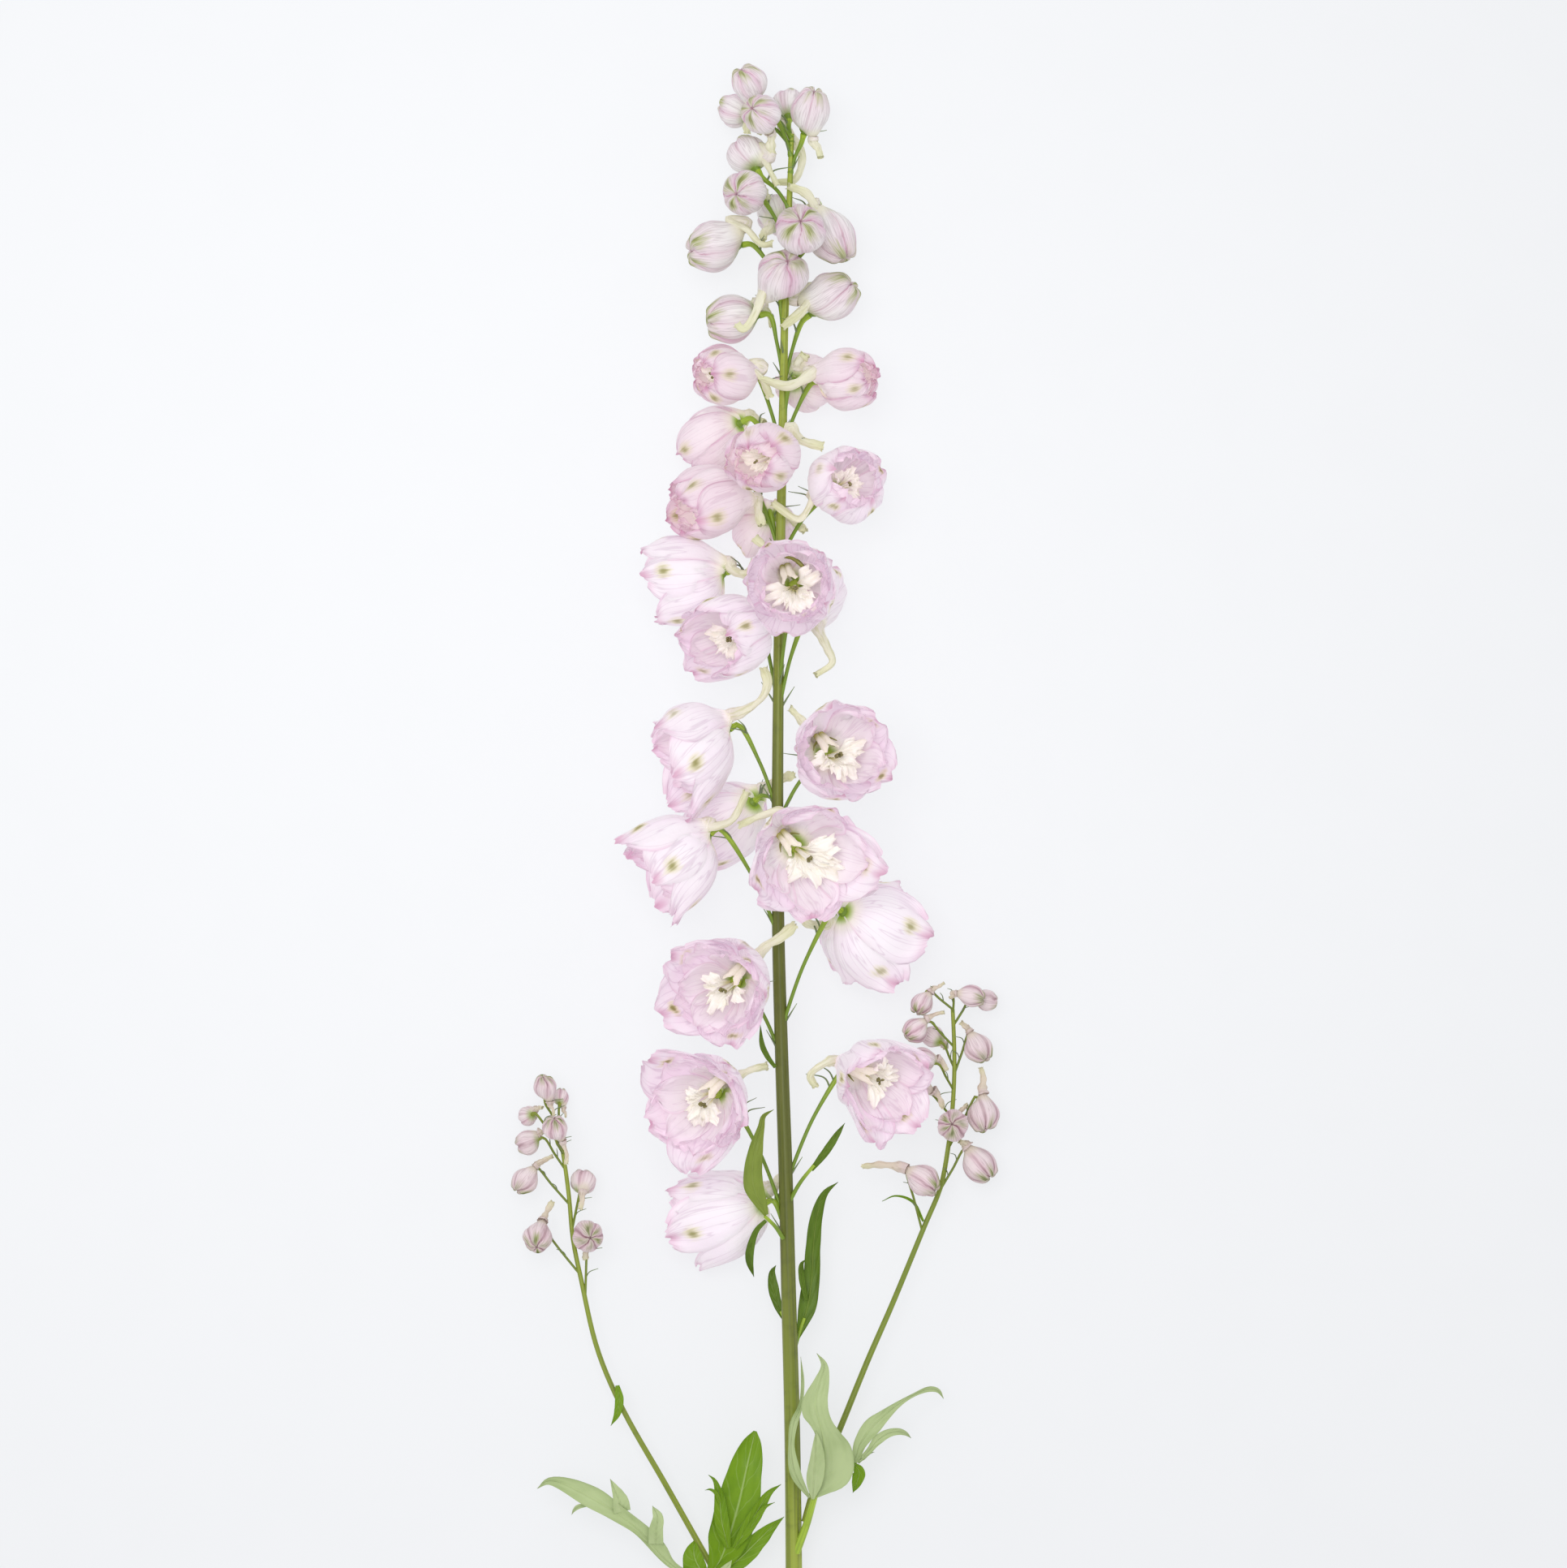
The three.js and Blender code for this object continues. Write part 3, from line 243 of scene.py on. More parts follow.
# Leaves: a stalk, and lobes as the points of the rib, the half widths as (share of the rib, to the left, to
# the right), how far the margins are lifted above the rib, and whether the leaf's upper side faces up.
LEAVES = {
    "leaf_lower": {
        "stalk": [(11.2, -302, 5), (0, -275, 9), (-12, -252, 12), (-19, -238, 13)],
        "lobes": [
            (
                [
                    (-19, -238, 13), (-14.2, -232, 15), (-9.9, -220.7, 19), (-6.4, -208.6, 21.5),
                    (-2.9, -193, 22), (0.2, -179.8, 18),
                ],
                [
                    (0, 0.8, 0.8), (0.127, 4.5, 4.5), (0.32, 8.2, 8), (0.52, 8.6, 8), (0.78, 6.6, 6),
                    (0.92, 3.8, 3.6), (1, 0.6, 0.6),
                ],
                1.4, True,
            ),
            (
                [
                    (-10.5, -226, 18.5), (-13, -215, 23), (-14.1, -204, 25.5), (-15.9, -198.5, 26),
                    (-18.3, -196.6, 25),
                ],
                [(0, 1, 1), (0.3, 2.8, 2.8), (0.6, 2.4, 2.4), (0.85, 1, 1), (1, 0, 0)],
                0.8, True,
            ),
            (
                [
                    (-13.5, -208, 24.6), (-15.5, -203.4, 26.6), (-17.6, -202.2, 26.6),
                    (-19.6, -202.6, 25.6),
                ],
                [(0, 0.8, 0.8), (0.5, 0.8, 0.8), (1, 0, 0)],
                0.2, True,
            ),
            (
                [
                    (-8, -226, 18.4), (-3, -218, 22), (2, -209.5, 23.5), (6, -203.5, 24.5),
                    (10.5, -200.3, 25),
                ],
                [(0, 1, 1), (0.35, 2.6, 2.6), (0.7, 1.9, 1.9), (1, 0, 0)],
                0.6, True,
            ),
            (
                [(-4, -221, 21), (0.5, -214.5, 23.6), (4.2, -209.2, 25.4), (8, -207.4, 25)],
                [(0, 1.2, 1.2), (0.5, 1.4, 1.4), (1, 0, 0)],
                0.3, True,
            ),
            (
                [
                    (-17, -236, 13.5), (-8, -232, 15.5), (0, -224.5, 17), (6, -218.5, 17.5),
                    (11.7, -213.8, 16.5),
                ],
                [(0, 1, 1), (0.35, 4, 4), (0.65, 3.3, 3.3), (1, 0, 0)],
                1, True,
            ),
            (
                [(-19, -238, 13), (-22, -234, 14), (-24, -229, 14), (-23.6, -223, 11.5)],
                [(0, 1, 1), (0.3, 6, 3), (0.6, 4.5, 3), (1, 0, 0)],
                0.8, True,
            ),
            (
                [
                    (-19, -240, 13), (-32.6, -233, 17.5), (-47.5, -217, 23.5), (-64.2, -205.7, 26),
                    (-80.9, -199.1, 20.5), (-86.1, -202.7, 16),
                ],
                [
                    (0, 0.8, 0.8), (0.187, 1.4, 1.8), (0.3, 1.7, 4.2), (0.45, 2.2, 3.4), (0.57, 3.3, 3.6),
                    (0.69, 3.9, 4.8), (0.82, 2.9, 3), (0.91, 1.6, 1.2), (1, 0, 0),
                ],
                1.6, False,
            ),
            (
                [(-52.3, -211, 25.6), (-53.5, -206.3, 27.5), (-55.3, -202.1, 28.5), (-57, -198, 27.5)],
                [(0, 3.4, 3.4), (0.3, 2.8, 3.6), (0.6, 1.4, 2.6), (1, 0, 0)],
                0.4, False,
            ),
            (
                [(-39.2, -224.1, 21.8), (-38.9, -218.2, 25), (-38.3, -212.8, 27), (-40.3, -208.8, 25.5)],
                [(0, 2.8, 3.2), (0.35, 2.9, 2.8), (0.7, 2, 2.2), (0.9, 1, 0.7), (1, 0, 0)],
                0.4, False,
            ),
            (
                [(-66, -208.4, 25.6), (-69.6, -209.2, 24.4), (-71.3, -210.7, 22.5), (-72.4, -212.8, 20)],
                [(0, 0.6, 0.6), (0.4, 0.9, 0.9), (1, 0, 0)],
                0.2, False,
            ),
            (
                [(-19, -238, 13), (-18, -240, 21), (-14, -237, 27), (-9, -230, 28)],
                [(0, 1, 1), (0.5, 3.2, 3.2), (0.85, 1.6, 1.6), (1, 0, 0)],
                0.6, False,
            ),
        ],
    },
    "leaf_upper_right": {
        "stalk": [(16.4, -228, 14), (20.4, -217, 18), (24, -204, 27)],
        "lobes": [
            (
                [
                    (23.4, -205, 27), (27.5, -196.1, 31), (27.5, -184.8, 34.5), (25.7, -175.3, 37),
                    (23.9, -167.5, 38.5), (25.7, -159.2, 37.5), (27.5, -152.6, 35), (24.5, -148.1, 32.5),
                ],
                [
                    (0, 0.6, 1.2), (0.09, 3.5, 5), (0.18, 5.6, 10.4), (0.27, 5.4, 11.4), (0.37, 4.4, 10),
                    (0.45, 2.7, 6.9), (0.53, 3.9, 4.8), (0.6, 5.6, 4.6), (0.66, 5.1, 4.9),
                    (0.8, 2.3, 3.5), (0.91, 1.2, 1.2), (1, 0, 0),
                ],
                2.2, False,
            ),
            (
                [(23, -206, 28), (23.4, -196.1, 33), (24, -187.2, 36.4), (24.2, -178.2, 38)],
                [(0, 0.5, 0.5), (0.3, 2.9, 3.6), (0.6, 2.2, 4), (0.85, 1, 2.2), (1, 0, 0)],
                0.8, False,
            ),
            (
                [
                    (21.6, -205.4, 27), (16.2, -196.1, 30.5), (14.4, -186, 33), (15.3, -175.9, 34),
                    (18.1, -168.7, 34), (18.9, -160.4, 31), (18.2, -149.9, 26),
                ],
                [
                    (0, 0.5, 0.5), (0.22, 2, 2.4), (0.4, 1.1, 1.4), (0.55, 1.5, 1.6), (0.68, 0.8, 0.8),
                    (0.85, 0.6, 0.7), (1, 0, 0),
                ],
                0.8, False,
            ),
            (
                [
                    (31, -194, 30.4), (38.8, -191.4, 28.5), (41.8, -183.9, 28), (46, -177.9, 27),
                    (50.7, -173.5, 25.6), (56.7, -168.8, 23.6), (62.6, -165.5, 20.5),
                    (69.2, -163.3, 15.5), (72.8, -164.2, 13), (74.9, -167.5, 11),
                ],
                [
                    (0, 0.8, 0.8), (0.13, 1.4, 1.4), (0.26, 2.7, 2.4), (0.38, 3.6, 3.3), (0.48, 2.5, 2.5),
                    (0.6, 1.2, 1.2), (0.72, 0.7, 0.7), (0.86, 1.1, 1.1), (0.93, 0.8, 0.8), (1, 0, 0),
                ],
                1, False,
            ),
            (
                [
                    (40.6, -191.4, 28), (45.4, -186.6, 27.5), (48.3, -183, 27), (52.5, -180.3, 25.5),
                    (56.7, -179.6, 23), (59.7, -180.6, 20), (61.9, -182.7, 16.5),
                ],
                [(0, 0.8, 0.8), (0.25, 1.3, 1.3), (0.4, 2, 1.8), (0.6, 1.6, 1.5), (0.8, 1, 1), (1, 0, 0)],
                0.6, False,
            ),
            (
                [(42.4, -190, 28), (45.4, -187.9, 27), (47.3, -187.5, 26)],
                [(0, 0.9, 0.9), (0.6, 0.5, 0.5), (1, 0, 0)],
                0.1, False,
            ),
            (
                [(38.5, -191.4, 29.5), (41.2, -194.9, 28), (40.3, -199.7, 26), (38.8, -203.9, 22)],
                [(0, 0.5, 0.5), (0.35, 2.4, 2.6), (0.6, 1.9, 2), (1, 0, 0)],
                0.4, True,
            ),
        ],
    },
    "bract_leaf_low": {
        "stalk": [(14.6, -152, 21), (17, -143, 19.5), (19.6, -135, 19.2)],
        "lobes": [
            (
                [
                    (17, -143, 19.5), (20.8, -131, 19), (22.7, -118, 17.5), (23.2, -107, 17.5),
                    (24.6, -95, 20), (28, -85.5, 23), (33, -81, 24),
                ],
                [
                    (0, 0.7, 0.7), (0.1, 2.4, 2.2), (0.2, 3.7, 3.5), (0.36, 3.5, 3.2), (0.55, 3, 2.8),
                    (0.72, 2.7, 2.4), (0.88, 1.7, 1.2), (1, 0, 0),
                ],
                0.9, True,
            ),
            (
                [(20.5, -128, 19.5), (18.6, -119, 21), (18.6, -113.5, 22.5), (20.1, -111.6, 23.5)],
                [(0, 0.8, 0.8), (0.5, 1.2, 1.2), (0.8, 1, 1), (1, 0, 0)],
                0.3, True,
            ),
        ],
    },
    "bract_leaf_left": {
        "stalk": [(11.2, -103, 27), (8, -98, 32), (4, -94, 34.8)],
        "lobes": [
            (
                [
                    (4.5, -93.5, 34.6), (-0.6, -81, 38.5), (-0.1, -68.7, 41), (2.5, -58.5, 40),
                    (3.5, -54.6, 38.5), (7.6, -51.9, 36),
                ],
                [
                    (0, 0.8, 1), (0.15, 2.6, 3), (0.28, 3.7, 4), (0.56, 2.6, 3.4), (0.79, 1.2, 1.5),
                    (0.88, 0.9, 0.9), (1, 0, 0),
                ],
                1.2, False,
            ),
            (
                [
                    (4.5, -95.7, 34), (1, -99.3, 33.5), (-1.6, -106.4, 30), (-2.1, -111.5, 26),
                    (-0.3, -118.7, 20),
                ],
                [(0, 0.7, 0.7), (0.3, 1.3, 1.3), (0.6, 1.8, 1.6), (0.8, 1.1, 1.1), (1, 0, 0)],
                0.4, True,
            ),
        ],
    },
    "bract_leaf_right": {
        "stalk": [(13, -90, 26), (18, -81, 28.5), (23.5, -74, 30)],
        "lobes": [
            (
                [(22.4, -76, 29.6), (28, -68.5, 31.5), (32.6, -61.5, 32), (35.6, -57.4, 31.5)],
                [(0, 0.8, 0.8), (0.4, 1.4, 1.7), (0.75, 1, 1.4), (1, 0, 0)],
                0.5, True,
            ),
        ],
    },
    "bract_leaf_back": {
        "stalk": [(13.6, -143, 20), (12.4, -137, 17.8), (10.4, -132.4, 17.2)],
        "lobes": [
            (
                [
                    (12.4, -137, 17.8), (9, -129.5, 16.6), (7.2, -122, 14.6), (7, -117, 13.4),
                    (8.4, -114.5, 13),
                ],
                [(0, 0.6, 0.6), (0.25, 1.5, 1.5), (0.6, 2.1, 2.1), (0.85, 1.3, 1.3), (1, 0, 0)],
                0.4, True,
            ),
        ],
    },
}

# Narrow leaves that lie along the main stem, as lobes.
STEM_LEAVES = [
    (
        [(8.2, -35.5, 31), (5, -31, 33), (3, -26.5, 34), (2.2, -18, 33)],
        [(0, 0.7, 0.7), (0.5, 1.1, 1.1), (1, 0, 0)],
        0.2, True,
    ),
]

# ---------------------------------------------------------------- dimensions, in millimetres

SEPALS = 5
FIFTH = 2 * math.pi / SEPALS
SEPAL_THICKNESS = 0.32
SEPAL_OVERLAP = 0.55
SEPAL_LAY = 0.8
# How far the two margins of each sepal lie over (+) or under (-) its neighbours'.
SEPAL_LAYS = ((1, 1), (-1, -0.9), (1, 1), (-0.9, 0.9), (-1, -1))
SEPAL_BULGE = 0.05  # of the flower's width
SEPAL_GRAIN = (10, 25)  # half the width and the length that its veins are laid out on
INNER_SEPAL_TURNS = (1.15, 2.3, 3.9, 5.15)
INNER_SEPAL_SIZE = 0.82  # of the outer sepals' girth
INNER_SEPAL_OPENING = 0.92  # of the flower's
INNER_SEPAL_RUFFLE = 1.1
YOUNG_INNER_SEPAL_RUFFLE = 1.5
CORE_SEPAL_TURNS = (0.3, 1.9, 3.1, 4.5)
CORE_SEPAL_SIZE = 0.66  # of the outer sepals' girth too
CORE_SEPAL_REACH = 1.04
CORE_SEPAL_RUFFLE = 1.3
NARROW = 0.85  # how wide inner and core sepals are against the usual
YOUNG_SHUT = 0.1  # how much less open a young flower's sepals are than the flower looks
YOUNG_CUTS = (0.82, 0.95)  # how much of the way to the mouth a young flower's lapping sepals cover
CLAW_RADIUS = 1.4
RECEPTACLE_DEPTH = 2.1
FUNNEL_REACH = 6  # how far the calyx is drawn out into the root of the spur
FUNNEL_SPREAD = 4
FUNNEL_DEPTH = 3  # how deep in the funnel the spur starts
BLOOM_SPUR_START = (5.2, 0.8)  # radius from the axis, distance along it
BUD_SPUR_START = (0.27, 0.08)  # the same, of the bud's width and length
TIP_BUDS = 5  # so many buds at the tip have a smaller funnel
# A bud's funnel: its reach, its spread, and how deep the spur starts in it, as shares of the bud's width.
TIP_BUD_FUNNEL = (0.2, 0.22, 0.16)
BUD_FUNNEL = (0.3, 0.25, 0.22)
SPRAY_BUD_FUNNEL = (0.26, 0.24, 0.2)
LEAF_THICKNESS = 0.45
STEM_BUTT_RADIUS = 3.6
STEM_TIP_RADIUS = 0.9
STEM_TAPER = 0.7
PEDICEL_RADIUS = 0.8
PEDICEL_BEND = 3.55  # how far behind the receptacle the stalk bends over
PEDICEL_END = 0.3  # how far into the receptacle it runs
SPRAY_PEDICEL_RADIUS = 0.5
SPRAY_PEDICEL_BEND = 2.4
SPRAY_PEDICEL_END = 0.6  # how far into the bud the stalk runs
SPRAY_BUD_LENGTH = 0.9  # of the length in the table
SPRAY_SEED = 50  # the seed of the first bud of a spray
SPUR_ROOT_RADIUS = 2.7
SPUR_TIP_RADIUS = 1.6
BUD_SPUR_RADII = (0.85 * SPUR_ROOT_RADIUS, 0.9 * SPUR_TIP_RADIUS)
SPRAY_SPUR_RADII = (0.19, 0.085)  # of the bud's width
SPRAY_RADII = (1.4, 0.8)
LEAF_STALK_RADII = (1.8, 1.2)
BRACT_LEAF_STALK_RADII = (0.9, 0.7)
# Thread-like bracts: length and root radius at the foot of a stalk, near its top, and on a spray.
FOOT_BRACT = (11, 0.6)
YOUNG_FOOT_BRACT = (7, 0.6)
TOP_BRACT = (8, 0.46)
SPRAY_BRACT = (4.5, 0.25)
BRACT_TIP_RADIUS = 0.12
FOOT_BRACT_CURL = 0.1
TOP_BRACT_PLACES = ((0.7, 0.9), (0.76, 0.5))  # share of the stalk, curl
SPRAY_BRACT_PLACES = ((0.3, 0.6), (0.65, 0.9))
BEE_BASE = 3.4  # how far up the flower's axis the inner petals start
# How far the inner petals reach along the axis and out from it, as shares of the flower's length and width.
BEE_SHARES = (0.58, 0.27)
YOUNG_BEE_SHARES = (0.78, 0.24)
BEE_SAG = 0.12  # of its spread
BEE_THICKNESS = 0.3
THREAD_RADII = (0.3, 0.2)
BEE_GRAIN = (4, 12)
HALF_OPEN = 0.5  # a flower less open than this is young
PRESS_HEIGHT = 1  # what would come lower than this is pressed flat on the surface
GRAIN_APART = 17  # between the veins and wrinkles of one mesh and those of the next
SEEDS_APART = 100  # between the seeds of one flower's sepals and those of the next

# Meshes: sides and steps of tubes, columns and rows of blades and buds.
STEM_MESH = (36, 180)
PEDICEL_MESH = (10, 24)
BRACT_MESH = (6, 10)
RECEPTACLE_MESH = (12, 6)
SPUR_MESH = (16, 40)
SPRAY_STALK_MESH = (12, 60)
SPRAY_PEDICEL_MESH = (8, 14)
LEAF_STALK_MESH = (10, 16)
THREAD_MESH = (6, 5)
ANTHER_MESH = (8, 6)
LIP_MESH = (10, 26)
BUD_MESH = (70, 40)
SPRAY_BUD_MESH = (50, 30)
SEPAL_MESH = (26, 22)
INNER_SEPAL_MESH = (22, 18)
CORE_SEPAL_MESH = (18, 14)
LIMB_MESH = (20, 10)
NECTARY_MESH = (18, 16)
LOBE_MESH = (18, 44)
SMALL_LOBE_MESH = (12, 24)
LONG_LOBE = 35  # leaf lobes longer than this have the finer mesh
SHARP_ANGLE = math.radians(60)  # edges that turn by more than this stay sharp

# Steps of the lines that things are placed on.
LINE_FINENESS = 40  # steps between two points of a table
STEM_STEPS = 400
PEDICEL_STEPS = 20
SPRAY_STEPS = 200
SPRAY_PEDICEL_STEPS = 10
NECTARY_STEPS = 20
LOBE_STEPS = 48
OUTLINE_STEPS = 60

# ---------------------------------------------------------------- materials


def srgb(code):
    """A hex colour as the linear colour that a socket takes."""
    parts = [int(code[i : i + 2], 16) / 255 for i in (1, 3, 5)]
    return (*(c / 12.92 if c <= 0.04045 else ((c + 0.055) / 1.055) ** 2.4 for c in parts), 1)


def add(tree, kind, settings=None, out=0):
    """Adds a node with its settings and links, and returns its output of that name or number.

    A setting is an attribute of the node, or a value or a link for the input of that name or number.
    """
    made = tree.nodes.new("ShaderNode" + kind)
    for name, value in (settings or {}).items():
        if isinstance(value, bpy.types.NodeSocket):
            tree.links.new(value, made.inputs[name])
        elif isinstance(name, str) and hasattr(made, name):
            setattr(made, name, value)
        else:
            made.inputs[name].default_value = value
    return made.outputs[out] if made.outputs else None


def painted(tree, ground, coats):
    """The ground colour under coats of (value, start, full, strength, colour).

    A coat comes in as its value goes from start to full.
    """
    colour = ground
    for value, start, full, strength, coat in coats:
        settings = {"interpolation_type": "SMOOTHSTEP", "Value": value, "From Min": start, "From Max": full}
        share = add(tree, "MapRange", settings | {"To Max": strength})
        colour = add(tree, "Mix", {"data_type": "RGBA", 0: share, 6: colour, 7: srgb(coat)}, 2)
    return colour


def begin(name):
    """A new material with an empty node tree."""
    material = bpy.data.materials.new(name)
    material.use_nodes = True
    material.node_tree.nodes.clear()
    return material, material.node_tree


def finish_thin(tree, colour, height, roughness, light_through, relief, painted_glow=0.0):
    """A thin, soft, waxy skin: matt on both faces, with some of the light on one coming out of the other.

    relief is in millimetres. The last argument is a painted glow: the skin emits its own colour this
    strongly.
    """
    bent = add(tree, "Bump", {"Distance": relief * MM, "Strength": 0.7, "Height": height})
    skin = {"Base Color": colour, "Roughness": roughness, "IOR": 1.4, "Specular IOR Level": 0.3}
    # painted glow: the skin emits its own colour, so it shows lighter than the lamps alone would make it
    skin |= {"Normal": bent, "Emission Color": colour, "Emission Strength": painted_glow}
    surface = add(tree, "BsdfPrincipled", skin)
    behind = add(tree, "BsdfTranslucent", {"Color": colour, "Normal": bent})
    both = add(tree, "MixShader", {0: light_through, 1: surface, 2: behind})
    add(tree, "OutputMaterial", {"Surface": both})


def streaks(tree, wide, long, detail=1.0):
    """Noise drawn out lengthwise, in streaks so many millimetres wide and long."""
    grain = add(tree, "Attribute", {"attribute_name": "grain"}, "Vector")
    place = add(tree, "VectorMath", {"operation": "DIVIDE", 0: grain, 1: (wide, wide, long)})
    return add(tree, "TexNoise", {"Vector": place, "Scale": 1.0, "Detail": detail})


def off_veins(tree, apart, long):
    """How far a point is from the nearest of fine branching veins, where drawn-out noise is at its middle."""
    off = add(tree, "Math", {"operation": "SUBTRACT", 0: streaks(tree, apart, long), 1: 0.5})
    return add(tree, "Math", {"operation": "ABSOLUTE", 0: off})


def off_fleck(tree, spot, squash, middle, wide, fray):
    """How far a point is from the middle of a fleck with a frayed outline."""
    place = add(tree, "VectorMath", {"operation": "MULTIPLY", 0: spot, 1: (squash, 1.0, 0.0)})
    gap = add(tree, "VectorMath", {"operation": "DISTANCE", 0: place, 1: (0.0, middle, 0.0)}, "Value")
    ragged = add(tree, "Math", {"operation": "MULTIPLY_ADD", 0: streaks(tree, wide, 6), 1: fray, 2: gap})
    return add(tree, "Math", {"operation": "SUBTRACT", 0: ragged, 1: fray / 2})


# Sepal tissue: pale pink and slightly see-through, with fine veins, a soft crinkle and a deeper pink rim. The
# back is nearly white, green at the foot and with a soft yellow-green fleck under the tip. The inner face is
# cooler, and cream in the throat. marked is 0 for the inner sepals, which have neither fleck nor green foot.
# flecked is the size of the fleck, and glow the strength of a painted glow that lights up the inner face.
def sepal_tissue(name, back, face, margin, rim, vein, veined, marked, flecked, glow):
    material, tree = begin(name)
    spot = add(tree, "Attribute", {"attribute_name": "spot"}, "Vector")
    across = add(tree, "SeparateXYZ", {0: spot}, 0)
    along = add(tree, "SeparateXYZ", {0: spot}, 1)
    inner = add(tree, "Attribute", {"attribute_name": "upper_side"}, "Fac")
    drawn = add(tree, "Attribute", {"attribute_name": "spur_share"}, "Fac")
    away = add(tree, "Math", {"operation": "ABSOLUTE", 0: across})
    edge = add(tree, "Math", {"operation": "MAXIMUM", 0: away, 1: along})
    wash = streaks(tree, 7, 12, 2.0)
    veins = off_veins(tree, 1.6, 16)
    fleck = off_fleck(tree, spot, 0.45, 0.8, 0.7, 0.11)
    tip = off_fleck(tree, spot, 0.5, 1.0, 1.5, 0.08)
    outer = add(tree, "Math", {"operation": "MULTIPLY_ADD", 0: inner, 1: -marked, 2: marked})
    throat = add(tree, "Math", {"operation": "MULTIPLY", 0: inner, 1: 0.75})
    uneven = {"Value": streaks(tree, 30, 300), "From Min": 0.35, "From Max": 0.6, "To Min": 0.4}
    vigour = add(tree, "MapRange", uneven)
    marks = add(tree, "Math", {"operation": "MULTIPLY", 0: outer, 1: vigour})
    halo = add(tree, "Math", {"operation": "MULTIPLY", 0: marks, 1: 0.55})
    core = add(tree, "Math", {"operation": "MULTIPLY", 0: marks, 1: 0.85})
    ground = add(tree, "Mix", {"data_type": "RGBA", 0: inner, 6: srgb(back), 7: srgb(face)}, 2)
    coats = [
        (wash, 0.42, 0.75, 0.5, face),
        (edge, 0.5, 1.0, 0.3 * rim, margin),
        (edge, 0.9, 1.0, rim, margin),
        (veins, 0.035, 0.0, veined, vein),
        (along, 0.32, 0.08, 0.7, "#fbf9ea"),
        (along, 0.17, 0.03, outer, "#a9c84e"),
        (fleck, 0.16 * flecked, 0.03, halo, "#dcda86"),
        (fleck, 0.09 * flecked, 0.0, core, "#8f8c38"),
        (tip, 0.14, 0.02, 0.45 * marked, "#d68bb4"),
        (drawn, 0.25, 0.8, 1.0, "#f4f0df"),
        (drawn, 0.5, 0.95, throat, "#b9b563"),
    ]
    crinkle = streaks(tree, 1.1, 1.8, 2.0)
    height = add(tree, "Math", {"operation": "MULTIPLY_ADD", 0: veins, 1: -1.0, 2: crinkle})
    # a painted glow on the inner face only, lightening the shade inside the cup
    painted_glow = add(tree, "MapRange", {"Value": inner, "To Min": 0.0, "To Max": glow})
    finish_thin(tree, painted(tree, ground, coats), height, 0.55, 0.35, 0.3, painted_glow)
    return material


# Bud skin: five sepals pressed together, whitish at the middle of each and dusky pink along the seams, with a
# green patch near the apex and green at the foot. crease is where a seam's colour starts, from 0 at the
# middle of a sepal to 1 at the seam, and least the strength of the faintest green patch.
def bud_skin(name, pale, seam, dusk, vein, patch, dark, root, crease, least):
    material, tree = begin(name)
    spot = add(tree, "Attribute", {"attribute_name": "spot"}, "Vector")
    edge = add(tree, "SeparateXYZ", {0: spot}, 0)
    along = add(tree, "SeparateXYZ", {0: spot}, 1)
    drawn = add(tree, "Attribute", {"attribute_name": "spur_share"}, "Fac")
    wash = {"Value": streaks(tree, 9, 60), "From Min": 0.42, "From Max": 0.62, "To Min": 0.3}
    blush = add(tree, "MapRange", wash)
    uneven = {"Value": streaks(tree, 7, 200), "From Min": 0.4, "From Max": 0.58, "To Min": least}
    vigour = add(tree, "MapRange", uneven)
    veins = off_veins(tree, 0.9, 14)
    fleck = off_fleck(tree, spot, 0.3, 0.84, 0.6, 0.3)
    upward = {"Value": along, "From Min": 0.45, "From Max": 0.9, "To Min": 0.3, "To Max": 0.95}
    late = add(tree, "MapRange", upward)
    fold = add(tree, "Math", {"operation": "MULTIPLY", 0: blush, 1: 0.8})
    coats = [
        (edge, 0.2, 1.0, fold, dusk),
        (along, 0.35, 0.75, 0.35, dusk),
        (veins, 0.07, 0.0, 0.38, vein),
        (fleck, 0.3, 0.04, vigour, patch),
        (fleck, 0.13, 0.0, vigour, dark),
        (edge, crease, 1.0, late, seam),
        (along, 0.3, 0.05, 0.9, "#9db653"),
        (along, 0.95, 1.0, 0.8, seam),
        (drawn, 0.1, 0.7, 1.0, root),
    ]
    wrinkles = streaks(tree, 1.2, 5, 2.0)
    height = add(tree, "Math", {"operation": "MULTIPLY_ADD", 0: veins, 1: -1.5, 2: wrinkles})
    finish_thin(tree, painted(tree, srgb(pale), coats), height, 0.48, 0.2, 0.3)
    return material


# Spur tissue: a limp hollow tube, wrinkled lengthwise, from pink by the flower to a dry cream at its end.
def spur_tissue(name, root, middle, tip, fold):
    material, tree = begin(name)
    spot = add(tree, "Attribute", {"attribute_name": "spot"}, "Vector")
    along = add(tree, "SeparateXYZ", {0: spot}, 1)
    wrinkles = streaks(tree, 0.9, 9, 2.0)
    coats = [
        (along, 0.0, 0.35, 1.0, middle),
        (along, 0.55, 1.0, 0.8, tip),
        (wrinkles, 0.5, 0.66, 0.55, fold),
    ]
    # the last value, 0.03, is a faint painted glow
    finish_thin(tree, painted(tree, srgb(root), coats), wrinkles, 0.5, 0.3, 0.6, 0.03)
    return material


